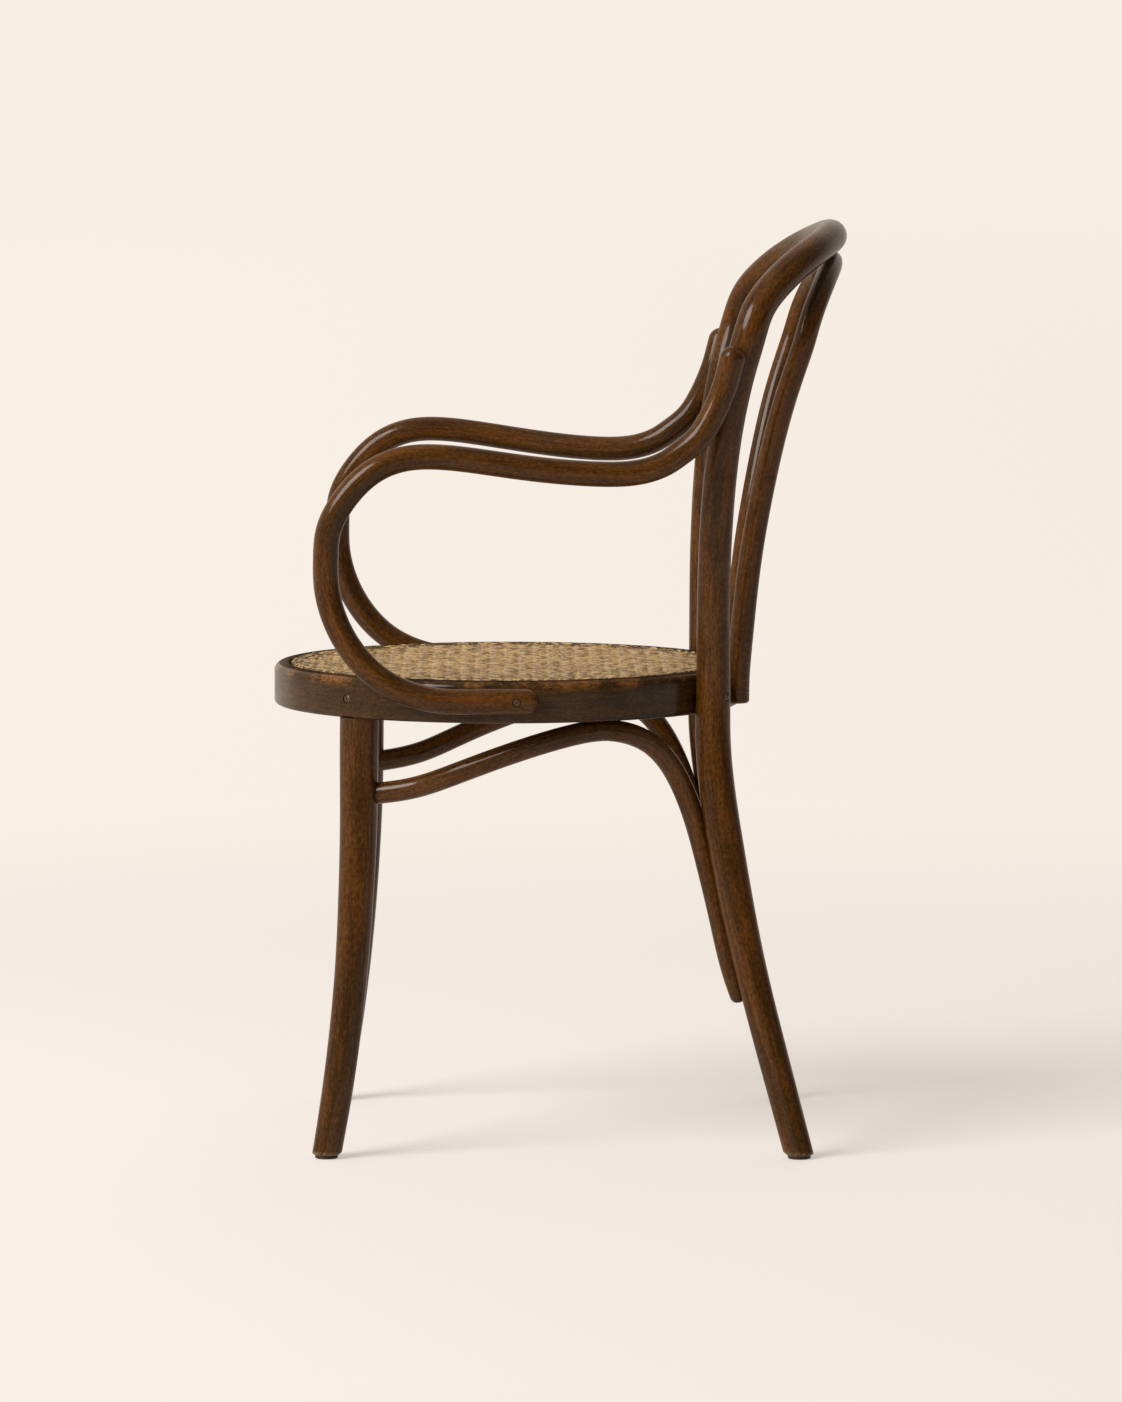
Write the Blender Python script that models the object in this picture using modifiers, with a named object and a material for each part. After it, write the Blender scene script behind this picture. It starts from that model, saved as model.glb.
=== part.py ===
# A bentwood armchair with a round cane seat.
# Metres, +Z up. The chair faces -Y, and its left side, as its sitter has it, is at +X.
# The origin is on the floor, under the middle of the whole chair.
import math

import bmesh
import bpy
import numpy as np
from mathutils import Matrix, Vector

# Fits
TOUCH = 0.0003                # between two pieces that rest on each other
SCREW_FIT = 0.0003            # all round a screw in its hole

# Seat ring, a hoop bent from one board, with a groove for the cane
SEAT_TOP = 0.467              # above the floor
SEAT_RADIUS = 0.2305
RING_WIDTH = 0.036
RING_HEIGHT = 0.0405
TOP_ROUND = 0.008
BOTTOM_ROUND = 0.004
INNER_ROUND = 0.002
GROOVE_INSET = 0.017          # from the ring's outside to the groove
GROOVE_WIDTH = 0.005
GROOVE_DEPTH = 0.006
LAND_DROP = 0.0027            # the shelf that carries the cane, below the ring's top
CANE_THICKNESS = 0.0016
CANE_HEM = 0.0012             # the cane's edge, turned down into the groove
CANE_OPENINGS = 12            # across, a plain grid in place of the weave's fine mesh
CANE_OPENING_SHARE = 0.60     # of the grid's pitch
CANE_RIM = 0.004              # least width between an opening and the ring
SPLINE_PROUD = 0.0008         # how far the reed that locks the cane stands above the ring
SPLINE_ROUND = 0.0008

# Back bow, one rod from a back foot over the crest to the other back foot
CHAIR_HEIGHT = 0.9035
CREST_REACH = 0.3195          # from the seat's centre back to the middle of the crest rod
BOW_HALF_WIDTH = 0.182        # at the foot of the crest arch
BOW_ARCH_RISE = 0.1075        # from the foot of the crest arch to the top of the chair
BOW_EARLY_CURL = 0.20         # share of the arch's curl back that keeps step with its rise
ARCH_SQUARENESS = 0.85        # below one, the arches are fuller than an ellipse
POST_LEAN = 0.033             # back, from the seat to the foot of the arch
POST_ANGLE = 35.6             # degrees round the ring from straight behind
POST_NOTCH = 0.0012           # how deep the ring is let into the post
BACK_SPLAY_OUT = 0.056        # from the ring to the foot
BACK_SPLAY_BACK = 0.0835
CREST_R = 0.01525
POST_R = 0.0160
POST_SEAT_R = 0.0168
BACK_THIGH_R = 0.0172
BACK_FOOT_R = 0.0142

# Inner bow, a slimmer hoop from the back of the ring to the underside of the crest
INNER_ANGLE = 18.5
INNER_NOTCH = 0.0040
INNER_HALF_WIDTH = 0.125
INNER_ARCH_DROP = 0.074       # from the top of its middle line to the foot of its arch
INNER_ARCH_REACH = 0.031      # how far its arch curls back
INNER_EARLY_CURL = 0.62
INNER_CREST_NOTCH = 0.0005
INNER_END_DROP = 0.0130       # below its screw
INNER_TOP_R = 0.0108
INNER_LOW_R = 0.0117

# Arms
ARM_R = 0.01225
ARM_HEIGHT = 0.6835           # middle line at its highest, over the front
ARM_TIP_DROP = 0.0085         # the rounded end on the post, below the foot of the crest arch
ARM_GRIP = 0.030              # how far the arm lies along the post
ARM_ELBOW_DROP = 0.0923       # from the foot of the grip down to the arm's lowest point behind
ARM_POST_NOTCH = 0.003
ARM_POST_TURN = 25.0          # degrees forward of straight out, seen from the post
ARM_RING_NOTCH = 0.0022
ARM_DROP = 0.0182             # its lower run's middle line, below the seat's top
ARM_END_BACK = 0.0275         # its rounded end, behind the seat's centre
ARM_SCREW_BACK = 0.0090
ARM_FORWARD = 0.1735          # middle line at its foremost, before the seat's centre
ARM_SPREAD = 0.0045           # outward of its place on the ring, at the front

# Front legs
FRONT_ANGLE = 47.5            # degrees round the ring from straight ahead
FRONT_SPLAY_OUT = 0.037
FRONT_SPLAY_AHEAD = 0.0325
FRONT_TOP_R = 0.0188
FRONT_KNEE_R = 0.0173
FRONT_SHIN_R = 0.0154
FRONT_FOOT_R = 0.0142
TENON_R = 0.0105
TENON_LENGTH = 0.022

# Braces, from the back of a front leg up under the ring and down a back leg
BRACE_R = 0.0105
BRACE_HEIGHT = 0.3500         # where it meets the front leg
BRACE_INSET = 0.0055          # inward of the front leg's middle line
BRACE_APEX_BACK = 0.0945      # behind the seat's centre
BRACE_RING_NOTCH = 0.0006
BRACE_LEG_NOTCH = 0.0012
BRACE_LEG_TURN = 50.0         # degrees forward of straight in, seen from the back leg
BRACE_JOIN_TOP = 0.2385       # the brace lies against the back leg from here
BRACE_JOIN_LOW = 0.1625       # to here
BRACE_END = 0.1525
BRACE_SCREW_UP = 0.1925

# Feet
GLIDE_HEIGHT = 0.0025
GLIDE_R = 0.0112
GLIDE_NAIL_R = 0.0014
GLIDE_NAIL_LENGTH = 0.016
FOOT_CHAMFER = 0.0036
FOOT_CHAMFER_SLOPE = 1.25     # height over width
LEG_PAST_FOOT = 0.012         # the rods run past the floor before their feet are trimmed

# Screws, with slotted heads let into the wood
SCREW_DROP = 0.0220           # below the seat's top, round the ring
HEAD_R = 0.0042
HEAD_DOME = 0.0010
HEAD_CONE = 0.0026
SHANK_R = 0.0019
SCREW_POINT = 0.006
SLOT_WIDTH = 0.0011
SLOT_DEPTH = 0.0009
HEAD_SINK = 0.0012            # below the crown of the rod
POST_SCREW_LENGTH = 0.056
INNER_SCREW_LENGTH = 0.038
ARM_SCREW_LENGTH = 0.040
GRIP_SCREW_LENGTH = 0.042
PIN_SCREW_LENGTH = 0.024
BRACE_SCREW_LENGTH = 0.036
BRACE_UP_SCREW_LENGTH = 0.032
CREST_SCREW_LENGTH = 0.034

# Fineness
RING_STEPS = 64
TURNED_STEPS = 12
THICK_SIDES = 4               # bevel resolution, twelve sides
SLIM_SIDES = 3                # bevel resolution, ten sides
MOST_TURN = math.radians(7.0)
MOST_STEP = 0.045
LEAST_STEP = 0.002
BALL_START = 1.3              # radii from the tip, where a rounded end's own points begin
BALL_ANGLES = (0, 35, 58, 76)

SCREW_LINE = SEAT_TOP - SCREW_DROP
RING_UNDER = SEAT_TOP - RING_HEIGHT
CREST_Z = CHAIR_HEIGHT - CREST_R
BOW_ARCH_FOOT = CHAIR_HEIGHT - BOW_ARCH_RISE
ARM_TIP_HEIGHT = BOW_ARCH_FOOT - ARM_TIP_DROP
FRAME_SHIFT = (SEAT_RADIUS - CREST_REACH - CREST_R) / 2

for old in list(bpy.data.objects):
    bpy.data.objects.remove(old, do_unlink=True)

chair = bpy.data.collections.new("bentwood_armchair")
tools = bpy.data.collections.new("cutters")
bpy.context.scene.collection.children.link(chair)
bpy.context.scene.collection.children.link(tools)

origin = bpy.data.objects.new("chair_origin", None)
origin.location = (0, FRAME_SHIFT, 0)
chair.objects.link(origin)


def finish(name, colour, roughness, metallic=0.0):
    material = bpy.data.materials.new(name)
    material.use_nodes = True
    shader = material.node_tree.nodes["Principled BSDF"]
    shader.inputs["Base Color"].default_value = (*colour, 1)
    shader.inputs["Roughness"].default_value = roughness
    shader.inputs["Metallic"].default_value = metallic
    material.diffuse_color = (*colour, 1)
    return material


def wood(name):
    return finish(name, (0.078, 0.036, 0.016), 0.38)


def steel(name):
    return finish(name, (0.075, 0.060, 0.048), 0.42, 0.9)


# Routes

def smooth_line(stations):
    """A natural cubic spline through the stations, each x, y, z and radius."""
    points = np.array(stations, dtype=float)
    runs = np.linalg.norm(np.diff(points[:, :3], axis=0), axis=1)
    at = np.concatenate(([0.0], np.cumsum(runs)))
    count = len(points)
    matrix = np.zeros((count, count))
    right = np.zeros((count, 4))
    matrix[0, 0] = matrix[-1, -1] = 1.0
    for i in range(1, count - 1):
        matrix[i, i - 1] = runs[i - 1]
        matrix[i, i] = 2 * (runs[i - 1] + runs[i])
        matrix[i, i + 1] = runs[i]
        right[i] = 6 * ((points[i + 1] - points[i]) / runs[i] - (points[i] - points[i - 1]) / runs[i - 1])
    bend = np.linalg.solve(matrix, right)

    def place(s):
        i = int(np.clip(np.searchsorted(at, s) - 1, 0, count - 2))
        a, b, h = at[i + 1] - s, s - at[i], runs[i]
        return (
            bend[i] * a ** 3 / (6 * h) + bend[i + 1] * b ** 3 / (6 * h)
            + (points[i] / h - bend[i] * h / 6) * a + (points[i + 1] / h - bend[i + 1] * h / 6) * b
        )

    return place, at[-1]


def sample(stations, round_start=False, round_end=False):
    """Points along the route, close together where it bends, with ends drawn in where rounded."""
    place, length = smooth_line(stations)
    fine = [place(s) for s in np.linspace(0, length, int(length / LEAST_STEP))]
    kept = [fine[0]]
    heading = fine[1][:3] - fine[0][:3]
    for before, after in zip(fine[1:], fine[2:]):
        ahead = after[:3] - before[:3]
        turn = Vector(heading).angle(Vector(ahead))
        if turn > MOST_TURN or np.linalg.norm(before[:3] - kept[-1][:3]) > MOST_STEP:
            kept.append(before)
            heading = ahead
    kept.append(fine[-1])
    if round_start:
        kept = rounded(kept[::-1], place, 0, 1)[::-1]
    if round_end:
        kept = rounded(kept, place, length, -1)
    return kept


def rounded(points, place, end, way):
    """The last stretch of a rod, one radius long, as a half ball."""
    radius = points[-1][3]
    tip = points[-1][:3]
    kept = [p for p in points if np.linalg.norm(p[:3] - tip) > BALL_START * radius]
    for angle in BALL_ANGLES:
        back = radius * (1 - math.sin(math.radians(angle)))
        point = place(end + way * back)
        point[3] = radius * math.cos(math.radians(angle))
        kept.append(point)
    return kept


def at_height(stations, z):
    """The point of a rising or falling route at this height."""
    place, length = smooth_line(stations)
    low, high = 0.0, length
    rising = place(length)[2] > place(0)[2]
    for _ in range(40):
        middle = (low + high) / 2
        if (place(middle)[2] < z) == rising:
            low = middle
        else:
            high = middle
    return place((low + high) / 2)


def mirrored(stations):
    return [(-x, y, z, r) for x, y, z, r in stations]


def on_ring(angle, distance):
    """A place seen from above, at an angle from straight behind and a distance from the centre."""
    turn = math.radians(angle)
    return distance * math.sin(turn), distance * math.cos(turn)


# Solids

def adopt(obj, material, collection):
    collection.objects.link(obj)
    obj.parent = origin
    obj.data.materials.clear()
    obj.data.materials.append(material)
    if collection is tools:
        obj.hide_render = True
        obj.display_type = "WIRE"
    return obj


def rod_mesh(name, points, sides, grow=0.0):
    """A round rod along the points, as one closed mesh."""
    curve = bpy.data.curves.new(name, "CURVE")
    curve.dimensions = "3D"
    curve.bevel_depth = 1.0
    curve.bevel_resolution = sides
    curve.use_fill_caps = True
    curve.twist_mode = "MINIMUM"
    line = curve.splines.new("POLY")
    line.points.add(len(points) - 1)
    for knot, (x, y, z, r) in zip(line.points, points):
        knot.co = (x, y, z, 1)
        knot.radius = r + grow
    guide = bpy.data.objects.new(name + "_guide", curve)
    bpy.context.scene.collection.objects.link(guide)
    bpy.context.view_layer.update()
    evaluated = guide.evaluated_get(bpy.context.evaluated_depsgraph_get())
    mesh = bpy.data.meshes.new_from_object(evaluated)
    mesh.name = name
    bpy.data.objects.remove(guide, do_unlink=True)
    bpy.data.curves.remove(curve)
    body = bmesh.new()
    body.from_mesh(mesh)
    bmesh.ops.remove_doubles(body, verts=body.verts, dist=0.00001)
    bmesh.ops.recalc_face_normals(body, faces=body.faces)
    body.to_mesh(mesh)
    body.free()
    return mesh


def shade(mesh):
    mesh.shade_smooth()
    mesh.set_sharp_from_angle(angle=math.radians(42))


def rod(name, points, sides=SLIM_SIDES):
    mesh = rod_mesh(name, points, sides)
    shade(mesh)
    return adopt(bpy.data.objects.new(name, mesh), wood(name), chair)


def rod_cutter(name, points, sides=SLIM_SIDES):
    mesh = rod_mesh(name, points, sides, TOUCH)
    return adopt(bpy.data.objects.new(name, mesh), wood(name), tools)


def turned(name, profile, steps, material, collection):
    """A profile of radius and height, turned round its own Z."""
    mesh = bpy.data.meshes.new(name)
    body = bmesh.new()
    knots = [body.verts.new((r, 0, z)) for r, z in profile]
    closed = min(r for r, z in profile) > 0
    for first, second in zip(knots, knots[1:]):
        body.edges.new((first, second))
    if closed:
        body.edges.new((knots[-1], knots[0]))
    body.to_mesh(mesh)
    body.free()
    obj = adopt(bpy.data.objects.new(name, mesh), material, collection)
    lathe = obj.modifiers.new("turned", "SCREW")
    lathe.axis = "Z"
    lathe.steps = steps
    lathe.render_steps = steps
    lathe.use_merge_vertices = True
    lathe.merge_threshold = 0.00001
    lathe.use_smooth_shade = True
    return obj


def cut(piece, *cutters):
    for cutter in cutters:
        step = piece.modifiers.new(cutter.name, "BOOLEAN")
        step.operation = "DIFFERENCE"
        step.solver = "EXACT"
        step.object = cutter


def aim(obj, place, outward):
    """Puts a turned piece at a place, with its own +Z pointing outward."""
    obj.location = place
    obj.rotation_mode = "QUATERNION"
    obj.rotation_quaternion = Vector(outward).to_track_quat("Z", "Y")


def arc(centre, radius, first, last, steps):
    angles = [math.radians(first + (last - first) * i / steps) for i in range(steps + 1)]
    return [(centre[0] + radius * math.cos(a), centre[1] + radius * math.sin(a)) for a in angles]


# Seat ring, cane and the reed that locks it

def ring_profile(grow=0.0):
    outside = SEAT_RADIUS + grow
    top = SEAT_TOP + grow
    under = RING_UNDER - grow
    inside = SEAT_RADIUS - RING_WIDTH
    return (
        arc((outside - TOP_ROUND, top - TOP_ROUND), TOP_ROUND, 90, 0, 3)
        + arc((outside - BOTTOM_ROUND, under + BOTTOM_ROUND), BOTTOM_ROUND, 0, -90, 2)
        + [(inside + INNER_ROUND, under), (inside, under + INNER_ROUND)]
    )


groove_out = SEAT_RADIUS - GROOVE_INSET
groove_in = groove_out - GROOVE_WIDTH
groove_floor = SEAT_TOP - GROOVE_DEPTH
land = SEAT_TOP - LAND_DROP
ring_in = SEAT_RADIUS - RING_WIDTH

seat_ring = turned(
    "seat_ring",
    ring_profile() + [(ring_in, land), (groove_in, land), (groove_in, groove_floor),
                      (groove_out, groove_floor), (groove_out, SEAT_TOP)],
    RING_STEPS, wood("seat_ring"), chair,
)
ring_cutter = turned(
    "ring_cutter",
    ring_profile(TOUCH) + [(ring_in, SEAT_TOP + TOUCH)],
    RING_STEPS, wood("ring_cutter"), tools,
)

cane_under = land + TOUCH
cane_top = cane_under + CANE_THICKNESS
hem_in = groove_in + TOUCH
hem_out = hem_in + CANE_HEM
hem_floor = groove_floor + TOUCH
cane_panel = turned(
    "cane_panel",
    [(0, cane_top), (hem_out, cane_top), (hem_out, hem_floor), (hem_in, hem_floor),
     (hem_in, cane_under), (0, cane_under)],
    RING_STEPS, finish("cane_panel", (0.45, 0.31, 0.17), 0.55), chair,
)
flat = cane_panel.modifiers.new("flat", "DECIMATE")
flat.decimate_type = "DISSOLVE"
flat.angle_limit = math.radians(1)


def cane_grid():
    """Square blocks, one for each opening of the cane that clears the ring."""
    pitch = 2 * ring_in / CANE_OPENINGS
    side = CANE_OPENING_SHARE * pitch
    middles = [(i + 0.5) * pitch - ring_in for i in range(CANE_OPENINGS)]
    body = bmesh.new()
    for x in middles:
        for y in middles:
            if math.hypot(abs(x) + side / 2, abs(y) + side / 2) < ring_in - CANE_RIM:
                bmesh.ops.create_cube(body, size=1, matrix=(
                    Matrix.Translation((x, y, cane_top)) @ Matrix.Diagonal((side, side, 4 * CANE_THICKNESS, 1))
                ))
    mesh = bpy.data.meshes.new("cane_grid")
    body.to_mesh(mesh)
    body.free()
    return adopt(bpy.data.objects.new("cane_grid", mesh), cane_panel.data.materials[0], tools)


cut(cane_panel, cane_grid())
reed_in = hem_out + TOUCH
reed_out = groove_out - TOUCH
reed_top = SEAT_TOP + SPLINE_PROUD
cane_spline = turned(
    "cane_spline",
    [(reed_in, reed_top - SPLINE_ROUND), (reed_in + SPLINE_ROUND, reed_top),
     (reed_out - SPLINE_ROUND, reed_top), (reed_out, reed_top - SPLINE_ROUND),
     (reed_out, hem_floor), (reed_in, hem_floor)],
    RING_STEPS, finish("cane_spline", (0.50, 0.36, 0.20), 0.50), chair,
)


# Screws and glides

def screw_profile(length):
    return [
        (0, HEAD_DOME), (HEAD_R * 0.62, HEAD_DOME * 0.66), (HEAD_R, 0), (SHANK_R, -HEAD_CONE),
        (SHANK_R, SCREW_POINT - length), (0, -length),
    ]


def screw_bore(length):
    """The screw's hole, open above its head for the driver."""
    head = HEAD_R + SCREW_FIT
    shank = SHANK_R + SCREW_FIT
    return [
        (0, HEAD_R * 3), (head, HEAD_R * 3), (head, -SCREW_FIT), (shank, -HEAD_CONE - SCREW_FIT),
        (shank, SCREW_POINT - length), (0, -length - 2 * SCREW_FIT),
    ]


def screw(name, length, place, outward, *held):
    """A slotted screw with its head at the place, and its hole in each piece that it holds."""
    body = turned(name, screw_profile(length), TURNED_STEPS, steel(name), chair)
    aim(body, place, outward)
    bpy.ops.mesh.primitive_cube_add(size=1)
    slot = bpy.context.object
    slot.name = name + "_slot"
    for owner in list(slot.users_collection):
        owner.objects.unlink(slot)
    slot.data.transform(Matrix.Diagonal((HEAD_R * 3, SLOT_WIDTH, SLOT_DEPTH * 2, 1)))
    slot.data.transform(Matrix.Translation((0, 0, HEAD_DOME)))
    adopt(slot, steel(name + "_slot"), tools)
    aim(slot, place, outward)
    cut(body, slot)
    bore = turned(name + "_bore", screw_bore(length), TURNED_STEPS, steel(name + "_bore"), tools)
    aim(bore, place, outward)
    for piece in held:
        cut(piece, bore)
    return body


def glide(name, x, y, foot_radius, leg):
    """A domed steel glide nailed up into the foot, and the flat, chamfered end of the foot."""
    seat = GLIDE_HEIGHT
    nail_top = seat + GLIDE_NAIL_LENGTH
    body = turned(
        name,
        [(0, nail_top), (GLIDE_NAIL_R, nail_top - GLIDE_NAIL_R * 2), (GLIDE_NAIL_R, seat),
         (GLIDE_R, seat), (GLIDE_R, seat * 0.4), (GLIDE_R - seat * 0.4, 0), (0, 0)],
        TURNED_STEPS * 2, steel(name), chair,
    )
    body.location = (x, y, 0)
    sole = seat + TOUCH
    wide = foot_radius * 3
    flat = foot_radius - FOOT_CHAMFER
    trim = turned(
        name + "_trim",
        [(0, sole), (flat, sole), (flat + wide, sole + wide * FOOT_CHAMFER_SLOPE), (flat + wide, -wide),
         (0, -wide)],
        TURNED_STEPS * 2, wood(name + "_trim"), tools,
    )
    trim.location = (x, y, 0)
    hole = turned(
        name + "_hole",
        [(0, nail_top + TOUCH), (GLIDE_NAIL_R + TOUCH, nail_top + TOUCH), (GLIDE_NAIL_R + TOUCH, 0), (0, 0)],
        TURNED_STEPS, wood(name + "_hole"), tools,
    )
    hole.location = (x, y, 0)
    cut(leg, trim, hole)
    return body


# Back bow

def arch(half_width, foot, crest, radius_foot, radius_crest, early_curl):
    """Half an arch that curls back as it rises, from its foot to its top. foot and crest are y and z."""
    stations = []
    for angle in (0, 15, 30, 45, 60, 75, 84, 90):
        rise = math.sin(math.radians(angle))
        curl = early_curl * rise + (1 - early_curl) * rise ** 2.2
        stations.append((
            half_width * max(0.0, math.cos(math.radians(angle))) ** ARCH_SQUARENESS,
            foot[0] + (crest[0] - foot[0]) * curl,
            foot[1] + (crest[1] - foot[1]) * rise,
            radius_foot + (radius_crest - radius_foot) * rise,
        ))
    return stations


post_x, post_y = on_ring(POST_ANGLE, SEAT_RADIUS + POST_SEAT_R - POST_NOTCH)
ring_middle = SEAT_TOP - RING_HEIGHT / 2
floor_reach = -LEG_PAST_FOOT

# Each row is how far down from the ring, how much of the splay out, how much of it back, and the radius.
back_leg_shape = (
    (0.10, 0.05, 0.00, BACK_THIGH_R),
    (0.33, 0.37, 0.150, BACK_THIGH_R),
    (0.58, 0.69, 0.417, 0.45 * BACK_THIGH_R + 0.55 * BACK_FOOT_R),
    (0.80, 0.88, 0.716, 0.2 * BACK_THIGH_R + 0.8 * BACK_FOOT_R),
    (1.00, 1.00, 1.00, BACK_FOOT_R),
)
# Each row is how far up to the foot of the arch, how much of the widening, how much of the lean.
post_shape = (
    (0.25, 0.12, 0.00),
    (0.50, 0.33, 0.09),
    (0.75, 0.67, 0.37),
    (0.92, 0.90, 0.76),
)


def back_leg_half():
    """From the ring down to the foot, and a little past it."""
    rows = [(post_x, post_y, ring_middle, POST_SEAT_R)]
    for down, out, back, r in back_leg_shape:
        rows.append((
            post_x + out * BACK_SPLAY_OUT, post_y + back * BACK_SPLAY_BACK, ring_middle * (1 - down), r,
        ))
    (x0, y0, z0, _), (x1, y1, z1, r1) = rows[-2:]
    past = (z1 - floor_reach) / (z0 - z1)
    rows.append((x1 + (x1 - x0) * past, y1 + (y1 - y0) * past, floor_reach, r1))
    return rows


def post_half():
    """From the ring up over the post to the top of the crest."""
    rows = []
    for up, out, back in post_shape:
        rows.append((
            post_x + out * (BOW_HALF_WIDTH - post_x), post_y + back * POST_LEAN,
            ring_middle + up * (BOW_ARCH_FOOT - ring_middle), POST_R,
        ))
    return rows + arch(
        BOW_HALF_WIDTH, (post_y + POST_LEAN, BOW_ARCH_FOOT), (CREST_REACH, CREST_Z),
        POST_R, CREST_R, BOW_EARLY_CURL,
    )


bow_half = back_leg_half()[::-1] + post_half()
bow_stations = bow_half + mirrored(bow_half[-2::-1])
bow_points = sample(bow_stations)
back_bow = rod("back_bow", bow_points, THICK_SIDES)
bow_cutter = rod_cutter("bow_cutter", bow_points, THICK_SIDES)
cut(back_bow, ring_cutter)

# Inner bow
inner_x, inner_y = on_ring(INNER_ANGLE, SEAT_RADIUS + INNER_LOW_R - INNER_NOTCH)
inner_crest_z = CREST_Z - CREST_R - INNER_TOP_R + INNER_CREST_NOTCH
inner_arch_foot = inner_crest_z - INNER_ARCH_DROP
inner_lean = CREST_REACH - INNER_ARCH_REACH - inner_y
# Each row is how far up to the foot of the arch, how much of the widening, how much of the lean.
inner_shape = (
    (0.15, 0.03, 0.058), (0.37, 0.12, 0.190), (0.60, 0.36, 0.406), (0.83, 0.79, 0.702), (0.93, 0.94, 0.875),
)


def inner_half():
    low = SCREW_LINE - INNER_END_DROP
    rows = [(inner_x, inner_y, low, INNER_LOW_R), (inner_x, inner_y, SCREW_LINE, INNER_LOW_R)]
    for up, out, back in inner_shape:
        rows.append((
            inner_x + out * (INNER_HALF_WIDTH - inner_x), inner_y + back * inner_lean,
            SCREW_LINE + up * (inner_arch_foot - SCREW_LINE),
            INNER_LOW_R + up * (INNER_TOP_R - INNER_LOW_R),
        ))
    return rows + arch(
        INNER_HALF_WIDTH, (inner_y + inner_lean, inner_arch_foot), (CREST_REACH, inner_crest_z),
        INNER_TOP_R, INNER_TOP_R, INNER_EARLY_CURL,
    )


inner_stations = inner_half() + mirrored(inner_half()[-2::-1])
inner_bow = rod("inner_bow", sample(inner_stations))
cut(inner_bow, ring_cutter, bow_cutter)
screw(
    "crest_screw", CREST_SCREW_LENGTH, (0, CREST_REACH, inner_crest_z - INNER_TOP_R + HEAD_SINK),
    (0, 0, -1), inner_bow, back_bow,
)

# Each row is how far down from the ring, how much of the splay out, how much of it ahead, and the radius.
front_leg_shape = (
    (0.00, 0.00, 0.00, FRONT_TOP_R),
    (0.08, 0.02, 0.01, FRONT_TOP_R),
    (0.22, 0.13, 0.02, 0.5 * FRONT_TOP_R + 0.5 * FRONT_KNEE_R + 0.0003),
    (0.40, 0.33, 0.10, FRONT_KNEE_R),
    (0.57, 0.55, 0.24, 0.4 * FRONT_KNEE_R + 0.6 * FRONT_SHIN_R),
    (0.74, 0.76, 0.47, FRONT_SHIN_R),
    (0.88, 0.91, 0.73, 0.5 * FRONT_SHIN_R + 0.5 * FRONT_FOOT_R),
    (1.00, 1.00, 1.00, FRONT_FOOT_R),
)
# Each row runs on from the arm's screw on the ring to its foremost point: shares of the way ahead, of
# the spread and of the height.
arm_loop_shape = (
    (0.190, 0.10, 0.000),
    (0.400, 0.24, 0.004),
    (0.615, 0.48, 0.049),
    (0.734, 0.64, 0.104),
    (0.869, 0.82, 0.216),
    (0.953, 0.94, 0.339),
    (0.997, 1.00, 0.481),
    (1.000, 1.00, 0.582),
)
# Each row runs on over the front of the rest: shares of the way ahead, of the width that is left
# outside the post, and of the height.
arm_rest_shape = (
    (0.984, 1.00, 0.704),
    (0.904, 0.99, 0.825),
    (0.729, 0.95, 0.953),
    (0.602, 0.92, 0.991),
    (0.410, 0.86, 1.000),
    (0.220, 0.78, 0.984),
)
# Each row runs on back to the post: shares of the way back from the screw, of that width, of the fall
# from the rest to the arm's lowest point, and of the rise from there to the foot of the grip.
arm_rear_shape = (
    (0.030, 0.66, 0.580, 0.000),
    (0.256, 0.42, 0.881, 0.000),
    (0.429, 0.25, 1.000, 0.000),
    (0.602, 0.12, 1.000, 0.027),
    (0.715, 0.06, 1.000, 0.119),
    (0.782, 0.03, 1.000, 0.220),
    (0.858, 0.01, 1.000, 0.361),
    (0.920, 0.00, 1.000, 0.567),
)

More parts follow.
